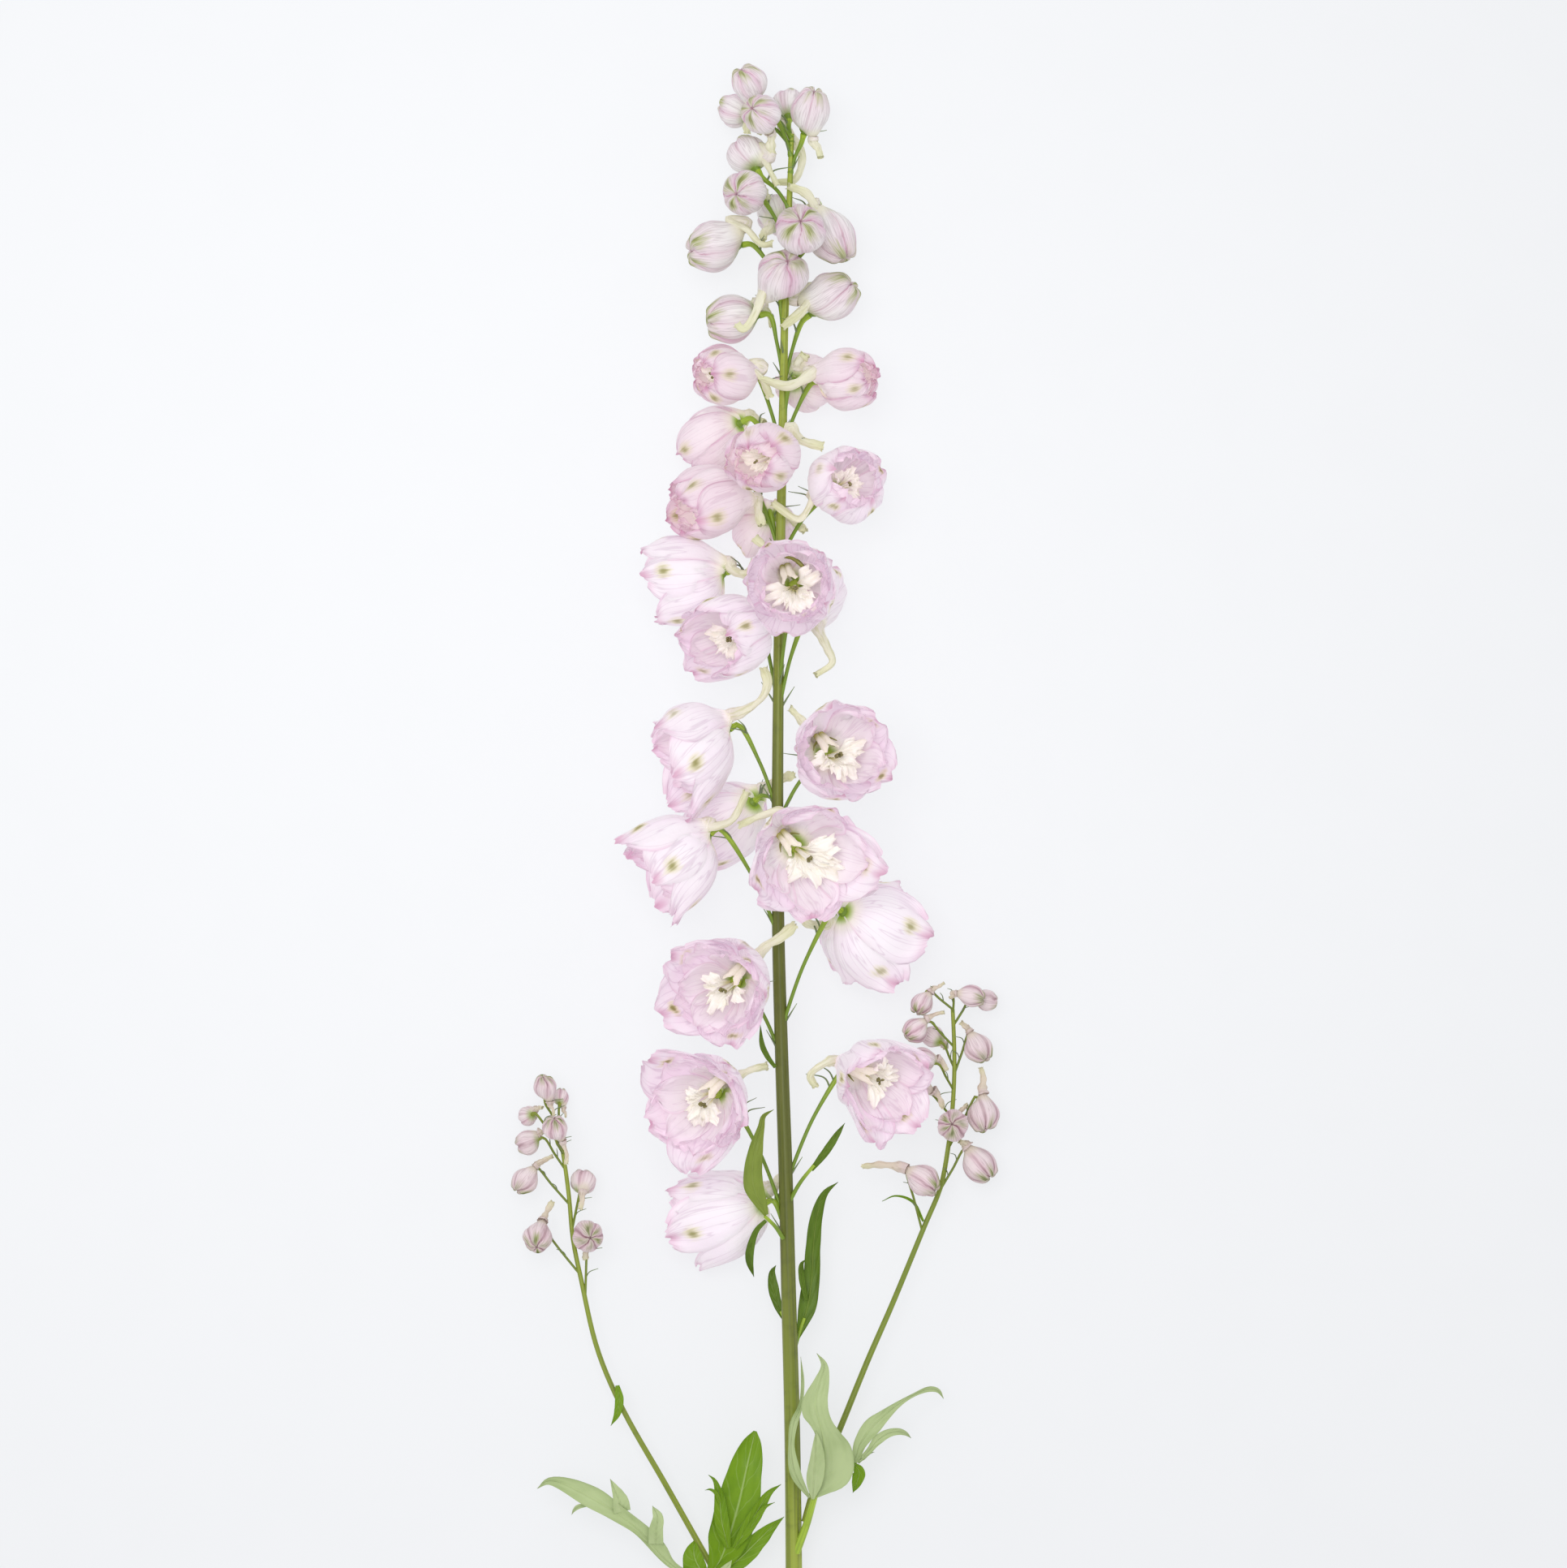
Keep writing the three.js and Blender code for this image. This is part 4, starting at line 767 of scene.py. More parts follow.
# Inner petals: thin, crisp and cream-white, yellower at the foot, and olive where a margin is dry.
def bee_tissue(name, white, foot, dry):
    material, tree = begin(name)
    spot = add(tree, "Attribute", {"attribute_name": "spot"}, "Vector")
    away = add(tree, "Math", {"operation": "ABSOLUTE", 0: add(tree, "SeparateXYZ", {0: spot}, 0)})
    along = add(tree, "SeparateXYZ", {0: spot}, 1)
    veins = off_veins(tree, 1.2, 6)
    coats = [
        (along, 0.4, 0.0, 1.0, foot),
        (veins, 0.04, 0.0, 0.2, "#ece6cc"),
        (away, 0.72, 0.95, dry, "#a3a258"),
    ]
    # the last value, 0.08, is a painted glow that keeps the inner petals bright in the shade of the cup
    finish_thin(tree, painted(tree, srgb(white), coats), veins, 0.5, 0.3, 0.2, 0.08)
    return material


# Stem skin: a smooth, faintly ribbed green rind with a waxy bloom. It is yellower at the butt and at the tip.
def stem_skin(name, green, bright, dark, rib):
    material, tree = begin(name)
    place = add(tree, "TexCoord", None, "Object")
    height = add(tree, "SeparateXYZ", {0: place}, 1)
    spot = add(tree, "Attribute", {"attribute_name": "spot"}, "Vector")
    along = add(tree, "SeparateXYZ", {0: spot}, 1)
    ribs = streaks(tree, rib, 60, 1.0)
    mottle = add(tree, "TexNoise", {"Vector": place, "Scale": 0.22 / MM, "Detail": 3.0})
    coats = [
        (height, -60 * MM, -300 * MM, 0.9, bright),
        (along, 0.5, 0.95, 0.9, bright),
        (ribs, 0.45, 0.66, 0.45, dark),
        (mottle, 0.5, 0.75, 0.3, dark),
    ]
    bent = add(tree, "Bump", {"Distance": 0.2 * MM, "Strength": 0.7, "Height": ribs})
    skin = {"Base Color": painted(tree, srgb(green), coats), "Roughness": 0.42, "IOR": 1.45, "Normal": bent}
    add(tree, "OutputMaterial", {"Surface": add(tree, "BsdfPrincipled", skin)})
    return material


# Leaf blade: a thin leathery leaf, glossy green above and dull grey-green below, with paler veins.
def leaf_blade(name, above, below, vein, shade):
    material, tree = begin(name)
    spot = add(tree, "Attribute", {"attribute_name": "spot"}, "Vector")
    away = add(tree, "Math", {"operation": "ABSOLUTE", 0: add(tree, "SeparateXYZ", {0: spot}, 0)})
    along = add(tree, "SeparateXYZ", {0: spot}, 1)
    upper = add(tree, "Attribute", {"attribute_name": "upper_side"}, "Fac")
    slant = add(tree, "Math", {"operation": "MULTIPLY_ADD", 0: away, 1: -0.25, 2: along})
    bent = add(tree, "Math", {"operation": "MULTIPLY_ADD", 0: streaks(tree, 6, 6), 1: 0.12, 2: slant})
    spread = add(tree, "Math", {"operation": "MULTIPLY", 0: bent, 1: 40.0})
    wave = add(tree, "Math", {"operation": "SINE", 0: spread})
    mottle = streaks(tree, 4, 9, 3.0)
    shaded = add(tree, "MapRange", {"Value": upper, "To Min": 0.15, "To Max": 0.5})
    ground = add(tree, "Mix", {"data_type": "RGBA", 0: upper, 6: srgb(below), 7: srgb(above)}, 2)
    coats = [
        (mottle, 0.42, 0.72, shaded, shade),
        (wave, 0.94, 1.0, 0.15, vein),
        (away, 0.07, 0.02, 0.45, vein),
        (away, 0.9, 1.0, shaded, shade),
    ]
    rib = add(tree, "MapRange", {"Value": away, "From Min": 0.14, "From Max": 0.0})
    relief = add(tree, "Math", {"operation": "MULTIPLY_ADD", 0: wave, 1: 0.15, 2: rib})
    finish_thin(tree, painted(tree, ground, coats), relief, 0.4, 0.25, 0.35)
    return material


YOUNG = sepal_tissue(
    "young_sepal_tissue",
    back="#f6eef1", face="#f8f0f4", margin="#dfb0cb", rim=0.6, vein="#d2b6c6", veined=0.3,
    marked=1.0, flecked=1.0, glow=0.28,
)
SEPAL = sepal_tissue(
    "thin_sepal_tissue",
    back="#faf9f9", face="#faf1f9", margin="#ebc9dd", rim=0.4, vein="#d8c6d4", veined=0.4,
    marked=1.0, flecked=0.72, glow=0.29,
)
INNER_SEPAL = sepal_tissue(
    "inner_sepal_tissue",
    back="#faf7f8", face="#fbf1f9", margin="#edcce0", rim=0.35, vein="#decada", veined=0.35,
    marked=0.0, flecked=1.0, glow=0.37,
)
YOUNG_INNER = sepal_tissue(
    "young_inner_sepal_tissue",
    back="#faf6f6", face="#fcf5f5", margin="#e4bdd2", rim=0.5, vein="#dfcbd6", veined=0.2,
    marked=0.0, flecked=1.0, glow=0.42,
)
SPUR = spur_tissue("limp_spur_tissue", "#f9f0ee", "#f3f0dc", "#eaeac2", "#d6d5a6")
SPRAY_SPUR = spur_tissue("small_spur_tissue", "#e6d6d2", "#e6dac8", "#e6e3bd", "#c3b09c")
BUD = bud_skin(
    "firm_bud_skin",
    pale="#f9f6f5", seam="#c4839f", dusk="#eac6da", vein="#b3a0a6", patch="#b4bb78", dark="#868c54",
    root="#f3efdc", crease=0.88, least=0.1,
)
SPRAY_BUD = bud_skin(
    "small_bud_skin",
    pale="#f4e7e8", seam="#83505a", dusk="#e2becb", vein="#b0919b", patch="#97a25c", dark="#626c3c",
    root="#e6dacb", crease=0.72, least=0.4,
)
BEE = bee_tissue("crisp_inner_petal", "#fffcf6", "#ece7b4", 0.0)
NECTARY = bee_tissue("rolled_inner_petal", "#fbf8ea", "#b4b24e", 0.75)
ANTHER = stem_skin("dusty_anther", "#7a7444", "#8a8450", "#4c452c", 0.5)
LIP = stem_skin("dark_olive_lip", "#8a8a3c", "#8a8a3c", "#56582a", 0.5)
STEM = stem_skin("waxy_green_stem", "#5e6420", "#a0ae40", "#4a5020", 1.3)
STALK = stem_skin("fresh_green_stalk", "#73902a", "#acc63c", "#6c842a", 0.6)
SPRAY_STALK = stem_skin("olive_spray_stalk", "#73842a", "#909c32", "#5c6824", 0.6)
BRACT = stem_skin("thin_dark_bract", "#718253", "#7c9158", "#5d5a5c", 0.4)
LEAF = leaf_blade("cut_green_leaf", "#7ba01e", "#c3d29c", "#c8da98", "#658c1c")
BRACT_LEAF = leaf_blade("narrow_dark_leaf", "#67842a", "#8ea046", "#a3b45e", "#4a6020")

# ---------------------------------------------------------------- shapes


def smooth_line(points, steps):
    """Evenly spaced points on the centripetal Catmull-Rom line through the points."""
    knots = [Vector(p) for p in points]
    knots = [2 * knots[0] - knots[1], *knots, 2 * knots[-1] - knots[-2]]
    strides = [max((b - a).length, 1e-6) ** 0.5 for a, b in zip(knots, knots[1:])]
    fine = []
    for i in range(len(knots) - 3):
        before, start, end, after = knots[i : i + 4]
        first, middle, last = strides[i : i + 3]
        leaving = (start - before) / first - (end - before) / (first + middle) + (end - start) / middle
        coming = (end - start) / middle - (after - start) / (middle + last) + (after - end) / last
        for k in range(LINE_FINENESS):
            t = k / LINE_FINENESS
            place = start * (2 * t**3 - 3 * t**2 + 1) + end * (3 * t**2 - 2 * t**3)
            place += leaving * middle * (t**3 - 2 * t**2 + t)
            place += coming * middle * (t**3 - t**2)
            fine.append(place)
    fine.append(knots[-2])
    walked = [0.0]
    for a, b in zip(fine, fine[1:]):
        walked.append(walked[-1] + (b - a).length)
    line = []
    k = 0
    for i in range(steps + 1):
        target = walked[-1] * i / steps
        while k < len(walked) - 2 and walked[k + 1] < target:
            k += 1
        share = (target - walked[k]) / max(walked[k + 1] - walked[k], 1e-9)
        line.append(fine[k].lerp(fine[k + 1], share))
    return line


def point_on(points, share, steps):
    """The point at a share of the smooth line through the points, to the nearest of its steps."""
    return smooth_line(points, steps)[round(steps * share)]


def length_of(line):
    """How long a line of points is."""
    return sum((b - a).length for a, b in zip(line, line[1:]))


def tangents_of(line):
    """The direction of a line at each of its points."""
    return [(b - a).normalized() for a, b in zip(line[:1] + line, line[1:] + line[-1:])]


def part_way(line, along):
    """The place in a list of points or directions at a share of its length."""
    place = min(max(along, 0), 1) * (len(line) - 1)
    k = min(int(place), len(line) - 2)
    return line[k].lerp(line[k + 1], place - k)


def smooth(value, start, end):
    """0 up to the start and 1 from the end on, with a smooth step between them."""
    share = min(1, max(0, (value - start) / (end - start)))
    return share * share * (3 - 2 * share)


def bumpy(*place):
    """Smooth noise between -1 and 1, about."""
    return noise.noise(Vector(place))


def fresh(create, **options):
    """A mesh from one of the plain shapes, with the layers that the materials read."""
    bm = bmesh.new()
    create(bm, **options)
    bm.verts.layers.float_vector.new("spot")  # across a blade, along it, and 0
    bm.verts.layers.float_vector.new("grain")  # millimetres across the grain twice, and along it
    bm.verts.layers.float.new("upper_side")
    bm.verts.layers.float.new("spur_share")
    return bm


def tube(points, radius_at, sides, steps, seed=0.0, hollow=(0, 0), ragged=0.0):
    """A closed stalk along a smooth line: a cylinder cut into rings, each moved to its place on the line.

    hollow is how deep each end is sunk in, and ragged how far its last ring strays.
    """
    line = smooth_line(points, steps)
    length = length_of(line)
    tangents = tangents_of(line)
    bm = fresh(bmesh.ops.create_cone, cap_ends=True, segments=sides, radius1=1, radius2=1, depth=1)
    lengthwise = [e for e in bm.edges if abs(e.verts[0].co.z - e.verts[1].co.z) > 0.5]
    bmesh.ops.subdivide_edges(bm, edges=lengthwise, cuts=steps - 1)
    bmesh.ops.poke(bm, faces=[f for f in bm.faces if len(f.verts) == sides])
    spot, grain = bm.verts.layers.float_vector["spot"], bm.verts.layers.float_vector["grain"]
    normal = Vector((0.3, 0.2, 1))  # any direction but the stalk's own
    rings = []
    for tangent in tangents:
        normal = (normal - tangent * normal.dot(tangent)).normalized()
        rings.append((normal, tangent.cross(normal)))
    for v in bm.verts:
        along = v.co.z + 0.5
        ring = round(along * steps)
        if math.hypot(v.co.x, v.co.y) < 0.5:  # the middle of an end
            sunk = hollow[0] if ring == 0 else -hollow[1]
            v.co = line[ring] + tangents[ring] * sunk
            v[spot] = (0, along, 0)
            continue
        turn = math.atan2(v.co.y, v.co.x)
        radius = radius_at(along, turn)
        round_x, round_y = radius * math.cos(turn), radius * math.sin(turn)
        v.co = line[ring] + rings[ring][0] * round_x + rings[ring][1] * round_y
        if ring == steps:
            v.co += tangents[ring] * (ragged * bumpy(3 * math.cos(turn), 3 * math.sin(turn), seed))
        v[spot] = (turn / math.pi, along, 0)
        v[grain] = (round_x + GRAIN_APART * seed, round_y, along * length)
    return bm


def taper(start, end):
    """The radius of a round stalk that goes evenly from start to end."""
    return lambda along, turn: start + (end - start) * along


def blade(surface, columns, rows, thickness, size, seed, upper_first=False):
    """A thin closed blade on surface(across, along), across from -1 to 1 and along from 0 to 1.

    size is its half width and length, for its grain, and upper_first is whether surface gives its upper side.
    """
    bm = fresh(bmesh.ops.create_grid, x_segments=columns, y_segments=rows, size=1)
    spot, grain = bm.verts.layers.float_vector["spot"], bm.verts.layers.float_vector["grain"]
    upper_side = bm.verts.layers.float["upper_side"]
    for v in bm.verts:
        across, along = v.co.x, (v.co.y + 1) / 2
        v.co = surface(across, along)
        v[spot] = (across, along, 0)
        v[grain] = (across * size[0], GRAIN_APART * seed, along * size[1])
        v[upper_side] = float(upper_first)
    first = len(bm.verts)
    bmesh.ops.solidify(bm, geom=bm.faces[:], thickness=thickness)
    for v in list(bm.verts)[first:]:
        v[upper_side] = float(not upper_first)
    return bm


class Flower:
    """Where a flower or bud sits.

    root is its receptacle, facing its axis, up the side that its spur is on, and drift how far its rim leans.
    """

    def __init__(self, centre, facing, length, width, spur_end, spur_start, kinks=()):
        self.facing = Vector(facing).normalized()
        self.root = Vector(centre) - self.facing * (length / 2)
        self.spur_end = Vector(spur_end)
        up = (self.spur_end - self.root).normalized() + Vector((0, 0.6, 0))
        self.up = (up - self.facing * up.dot(self.facing)).normalized()
        self.side = self.facing.cross(self.up)
        self.length, self.width = length, width
        draw = random.Random(round(1000 * width + length))
        self.drift = self.up * draw.uniform(-0.09, 0.05) * width
        self.drift += self.side * draw.uniform(-0.08, 0.08) * width
        self.spur_start = self.at(0, *spur_start)
        self.spur_route = [*map(Vector, kinks), self.spur_end]
        towards = (self.spur_route[0] - self.spur_start).normalized()
        self.spur_heading = (towards * 0.8 - self.facing).normalized()

    def at(self, turn, radius, along):
        """The point at a turn round the axis, at a radius from it and a distance along it."""
        outward = self.up * math.cos(turn) + self.side * math.sin(turn)
        return self.root + self.facing * along + outward * radius

    def spur_line(self, depth):
        """The spur's line: from a depth down the funnel it grows out of, back round the stalk, to its end."""
        start = self.spur_start + self.spur_heading * depth
        route = self.spur_route
        if len(route) == 1:
            reach = (self.spur_end - self.spur_start).length
            arch = self.up * (0.07 * reach) - self.facing * (0.1 * reach)
            route = [self.spur_start.lerp(self.spur_end, 0.55) + arch, *route]
        return [start, start + self.spur_heading * (0.5 * depth + 1), *route]


def draw_out(bm, flower, reach, spread):
    """Draws the skin round the start of the spur out into a funnel."""
    share_layer = bm.verts.layers.float["spur_share"]
    for v in bm.verts:
        share = math.exp(-(((v.co - flower.spur_start).length / spread) ** 2))
        v.co += flower.spur_heading * (reach * share)
        v[share_layer] = share
    return bm


def spur(line, root, tip, seed):
    """The spur: a limp tube, pressed flat in places, wrinkled, and torn at its end."""
    phase = random.Random(seed).uniform(0, 6)

    def radius_at(along, turn):
        flat = 1 + 0.22 * smooth(along, 0.15, 0.5) * math.cos(2 * turn + phase + 4 * along)
        folds = 1 + 0.07 * math.cos(6 * turn + 7 * along + phase)
        folds += 0.1 * bumpy(2 * math.cos(turn), 2 * math.sin(turn), 9 * along + seed)
        pinch = 1 + 0.3 * bumpy(7 * along, seed, 0.5)
        blunt = 1 - 0.15 * smooth(along, 0.9, 0.97) + 0.2 * smooth(along, 0.97, 1)
        return (tip + (root - tip) * (1 - smooth(along, 0, 0.5))) * flat * folds * pinch * blunt

    hollow = (4 * root / SPUR_ROOT_RADIUS, 1.5 * tip)
    return tube(line, radius_at, *SPUR_MESH, seed, hollow=hollow, ragged=1.2 * tip)


def bud_spur_start(length, width):
    """Where a bud's spur starts: its radius from the axis and its distance along it."""
    return BUD_SPUR_START[0] * width, BUD_SPUR_START[1] * length


def bud(flower, seed, reach, spread, mesh):
    """A shut bud: an egg of five sepals, each overlapping the next, knobbed and drawn in at the apex.

    reach and spread are those of the cone that runs into the spur, as shares of the bud's width.
    """
    bm = fresh(bmesh.ops.create_uvsphere, u_segments=mesh[0], v_segments=mesh[1], radius=1)
    spot, grain = bm.verts.layers.float_vector["spot"], bm.verts.layers.float_vector["grain"]
    draw = random.Random(seed)
    shifts = [draw.uniform(-0.05, 0.05) for _ in range(SEPALS)]
    tall = [draw.uniform(-0.04, 0.04) for _ in range(SEPALS)]
    uneven_turn = draw.uniform(0, 6)
    drift = flower.drift * 1.2
    girth = 0.5 * flower.width
    for v in bm.verts:
        turn = math.atan2(v.co.y, v.co.x)
        east, north = math.cos(turn), math.sin(turn)
        ring = math.hypot(v.co.x, v.co.y)
        polar = math.acos(max(-1, min(1, -v.co.z))) / math.pi
        skewed = turn + 0.34 * math.sin(turn + uneven_turn) + 0.1 * math.sin(2 * turn - uneven_turn)
        skewed += 0.5 * bumpy(4 * polar, seed, 0) * smooth(polar, 0.4, 1)
        which = math.floor(skewed / FIFTH + 0.5)
        across = 2 * (skewed / FIFTH + 0.5 - which) - 1
        which %= SEPALS
        edge = abs(across)
        mid = 1 - edge * edge
        furrow = (0.03 + 0.16 * smooth(polar, 0.5, 0.92)) * smooth(edge, 0.45, 1)
        knob = 0.08 * math.exp(-(((polar - 0.83 - tall[which]) / 0.07) ** 2)) * mid
        overlap = 0.035 * across * smooth(polar, 0.1, 0.4)
        overlap += shifts[which] * smooth(polar, 0.1, 0.5) * mid
        uneven = 0.04 * bumpy(2 * east, 2 * north, 3 * polar + seed)
        wrinkle = 0.012 * bumpy(9 * east, 9 * north, 5 * polar + seed)
        radius = girth * ring * (1.02 - furrow + 0.03 * mid + overlap + uneven + wrinkle + knob)
        push = 0.6 * knob - 0.06 * smooth(polar, 0.88, 1) - 0.3 * furrow * smooth(polar, 0.7, 0.9)
        along = flower.length / 2 * (1 + v.co.z) + flower.length * push
        v.co = flower.at(turn, radius, along) + drift * smooth(polar, 0.55, 1)
        v[spot] = (edge, polar, 0)
        v[grain] = (girth * east + GRAIN_APART * seed, girth * north, polar * 1.5 * flower.length)
    return draw_out(bm, flower, reach * flower.width, spread * flower.width)


def sepal(
    flower, opening, turn, seed,
    size=1.0, reach=1.0, cut=1.0, ruffle=1.0, lays=(0, 0), wide=1.0, mesh=SEPAL_MESH,
):
    """One sepal: a spoon bent round the flower's axis, lapping its neighbours, with a ruffled and ragged rim.

    size is its girth against the flower's, reach its length, and cut how much of the way to the mouth it
    covers. ruffle is how uneven it is, lays how far its two margins lie over its neighbours', and wide its
    width against the usual.
    """
    draw = random.Random(seed)
    opening += ruffle * draw.uniform(-0.07, 0.07)
    sweep = math.pi * (1 - opening / 2)
    widest = 1 if sweep > math.pi / 2 else math.sin(sweep)
    bulge = SEPAL_BULGE * flower.width
    belly = (flower.width / 2 - CLAW_RADIUS - SEPAL_LAY - bulge) / widest * size * reach**0.5
    depth = flower.length / (1 - math.cos(sweep)) * (0.6 + 0.4 * size) * reach * draw.uniform(0.95, 1.05)
    half_angle = math.pi / SEPALS * (1 + SEPAL_OVERLAP) * wide
    phase, slant = draw.uniform(0, 6), draw.uniform(-0.16, 0.16)
    waves, curl = draw.uniform(1.5, 2.4), draw.uniform(-1.2, 1.6) * opening
    height = ruffle * (0.4 + 0.75 * opening)
    tear = 0.015 + 0.035 * opening * ruffle
    middle_lay = (lays[0] + lays[1]) / 2

    def surface(across, along):
        edge = abs(across)
        point = 0.06 * smooth(along, 0.86, 1) * (1 - edge) ** 3
        torn = tear * smooth(along, 0.7, 1) * (bumpy(5 * across, seed, 0) + 0.6 * bumpy(14 * across, seed, 4))
        share = cut * along * (1 + point + torn)
        lean = sweep * share
        rim = share * max(edge**2, smooth(along, 0.62, 1))
        wave = height * rim * math.sin(waves * math.pi * across + phase + 2 * share)
        wave += 0.2 * ruffle * rim**2 * math.sin(11 * across + 9 * share + 2 * phase)
        swell = 1.3 * ruffle * bumpy(1.6 * across, 2.4 * share, seed) * smooth(share, 0.1, 0.6)
        crumple = 0.5 * ruffle * bumpy(5 * across, 4 * share, seed) * smooth(share, 0.3, 0.9)
        spoon = bulge * (1 - across * across) * smooth(share, 0.1, 0.5) * (1 - 0.7 * smooth(along, 0.75, 1))
        crease = -0.35 * (1 - smooth(edge, 0, 0.12)) * smooth(share, 0.1, 0.4)
        side_lay = lays[across > 0]
        over = SEPAL_LAY * (middle_lay + (side_lay - middle_lay) * edge) * min(1, 4 * share)
        lay = size * (over + wave + swell + crumple + spoon + crease)
        outward = Vector((depth * math.sin(lean), -belly * math.cos(lean))).normalized()
        flare = (opening * 2.4 + curl) * smooth(share, 0.7, 1.05) ** 2
        radius = CLAW_RADIUS + belly * math.sin(lean) + lay * outward.x + flare
        distance = depth * (1 - math.cos(lean)) + lay * outward.y
        narrowing = math.sqrt(max(0.05, 1 - 0.5 * opening * max(0, (share - 0.55) / 0.5) ** 2))
        rounded = math.sqrt(max(0.01, 1 - max(0, (along - 0.66) / 0.37) ** 2.8))
        angle = turn + slant * share + across * half_angle * narrowing * rounded
        return flower.at(angle, max(radius, 0.3), distance) + flower.drift * smooth(share, 0.2, 1)

    bm = blade(surface, *mesh, SEPAL_THICKNESS, (SEPAL_GRAIN[0] * size, SEPAL_GRAIN[1] * size), seed)
    return draw_out(bm, flower, FUNNEL_REACH, FUNNEL_SPREAD)


def receptacle(flower):
    """The swollen end of the stalk, which the sepals stand on."""

    def radius_at(along, turn):
        return 1 + 1.4 * smooth(along, 0, 0.7) - 0.8 * smooth(along, 0.75, 1)

    points = [flower.at(0, 0, along) for along in (-RECEPTACLE_DEPTH, -0.6, 1.2)]
    return tube(points, radius_at, *RECEPTACLE_MESH)


def bee_limb(flower, limb, number, reach, spread, sag, draw, seed):
    """One limb of the inner petals, cut into rounded ragged lobes."""
    turn, lean_out, half_angle = limb
    turn += draw.uniform(-0.15, 0.15)
    length = reach * draw.uniform(0.8, 1.1)
    phase, lobes, shift = draw.uniform(0, 6), draw.uniform(0.7, 1.1), draw.uniform(0.2, 0.8)

    def surface(across, along):
        peak = math.sin(math.pi * ((across * lobes + shift) % 1)) ** 0.55
        ragged = 0.36 * (1 - peak) + 0.22 * across * across + 0.22 * bumpy(5 * across, phase, seed)
        cut = 1 - smooth(along, 0.4, 1) * ragged
        radius = 1.5 + (spread - 1.5) * along**1.6 * lean_out * cut
        radius += 1.4 * bumpy(2 * across, 3 * along, phase) * along
        half = 0.25 + half_angle * smooth(along, 0.2, 0.7)
        angle = turn + across * half * (1 - 0.35 * smooth(along, 0.7, 1))
        rise = length * (1 - (1 - along) ** 2)
        rise += 3.4 * bumpy(3 * across, 3 * along, phase + 9) * along
        rise -= 1.6 * along**4
        return flower.at(angle, max(radius, 0.4), BEE_BASE + rise) + sag * along

    return blade(surface, *LIMB_MESH, BEE_THICKNESS, BEE_GRAIN, seed + number)


def anther_radius(along, turn):
    """The radius of an anther, a small egg."""
    return 0.1 + 0.45 * math.sin(math.pi * (0.1 + 0.8 * along))


def stamen(flower, number, reach, sag, draw):
    """One stamen, as its thread and its anther."""
    turn, stray = draw.uniform(1.6, 4.7), draw.uniform(0.2, 1.5)
    top = flower.at(turn, stray, BEE_BASE + reach * draw.uniform(0.75, 0.95)) + sag * 0.7
    foot = flower.at(turn, 0.5 * stray, BEE_BASE - 1.5)
    route = [foot, foot.lerp(top, 0.5) + flower.facing, top]
    tilt = (flower.at(draw.uniform(0, 6.28), 1, 0) - flower.root) * 0.6
    ends = [top - flower.facing * 0.5, top, top + flower.facing * 0.8 + tilt]
    thread = tube(route, taper(*THREAD_RADII), *THREAD_MESH, number)
    return thread, tube(ends, anther_radius, *ANTHER_MESH, number)


def bee(flower, limbs, stamens, reach, spread, seed):
    """The inner petals: cream limbs spread away from the spur, and so many stamens between them.

    limbs are (turn, share of the spread, half angle) each. It gives the limbs and threads, and the anthers.
    """
    draw = random.Random(seed)
    sag = flower.drift - flower.up * (BEE_SAG * spread)
    petals = [bee_limb(flower, limb, i, reach, spread, sag, draw, seed) for i, limb in enumerate(limbs)]
    pairs = [stamen(flower, k, reach, sag, draw) for k in range(stamens)]
    return petals + [thread for thread, _ in pairs], [anther for _, anther in pairs]


def nectary(flower, reach, hand, seed):
    """One of the two upper inner petals: a rolled channel out of the mouth of the spur.

    hand is -1 for one of them and 1 for the other.
    """
    points = [flower.at(0.12 * hand, 8.6, 1.6), flower.at(0.22 * hand, 5.6, BEE_BASE + 0.4 * reach)]
    points.append(flower.at(1.1 * hand, 1.3, BEE_BASE + 0.95 * reach))
    line = smooth_line(points, NECTARY_STEPS)
    tangents = tangents_of(line)
    back = flower.at(0.5 * hand, 1, 0) - flower.root

    def surface(across, along):
        tangent = part_way(tangents, along)
        normal = (back - tangent * back.dot(tangent)).normalized()
        radius = 1.2 + 1.1 * along * along + 0.35 * bumpy(3 * across, 4 * along, seed)
        roll = (2.3 - 1.2 * smooth(along, 0.5, 1)) * across
        aside = tangent.cross(normal) * (radius * math.sin(roll))
        middle = part_way(line, along - 0.22 * abs(across) * smooth(along, 0.6, 1))
        return middle + normal * (radius * math.cos(roll)) + aside

    return blade(surface, *NECTARY_MESH, BEE_THICKNESS, BEE_GRAIN, seed)


def lip(flower, places, thick):
    """A dark olive line round the mouth of the spur, through places of (turn, radius, distance along)."""
    points = [flower.at(*place) for place in places]

    def radius_at(along, turn):
        swollen = thick * math.sin(math.pi * along) * (1 + 0.5 * bumpy(9 * along, thick, 0))
        return 0.15 + swollen * (0.5 + abs(math.cos(turn)))

    return tube(points, radius_at, *LIP_MESH)


stem_points = smooth_line(STEM_LINE, STEM_STEPS)


def stem_at(height):
    """The point on the stem's line at a height."""
    return min(stem_points, key=lambda p: abs(p.y - height))


def stem_radius(along, turn):
    """The radius of the stem, thinner towards its tip and faintly ribbed."""
    thick = STEM_TIP_RADIUS + (STEM_BUTT_RADIUS - STEM_TIP_RADIUS) * (1 - along) ** STEM_TAPER
    return thick * (1 + 0.035 * math.cos(5 * turn) + 0.02 * math.cos(9 * turn + 3))


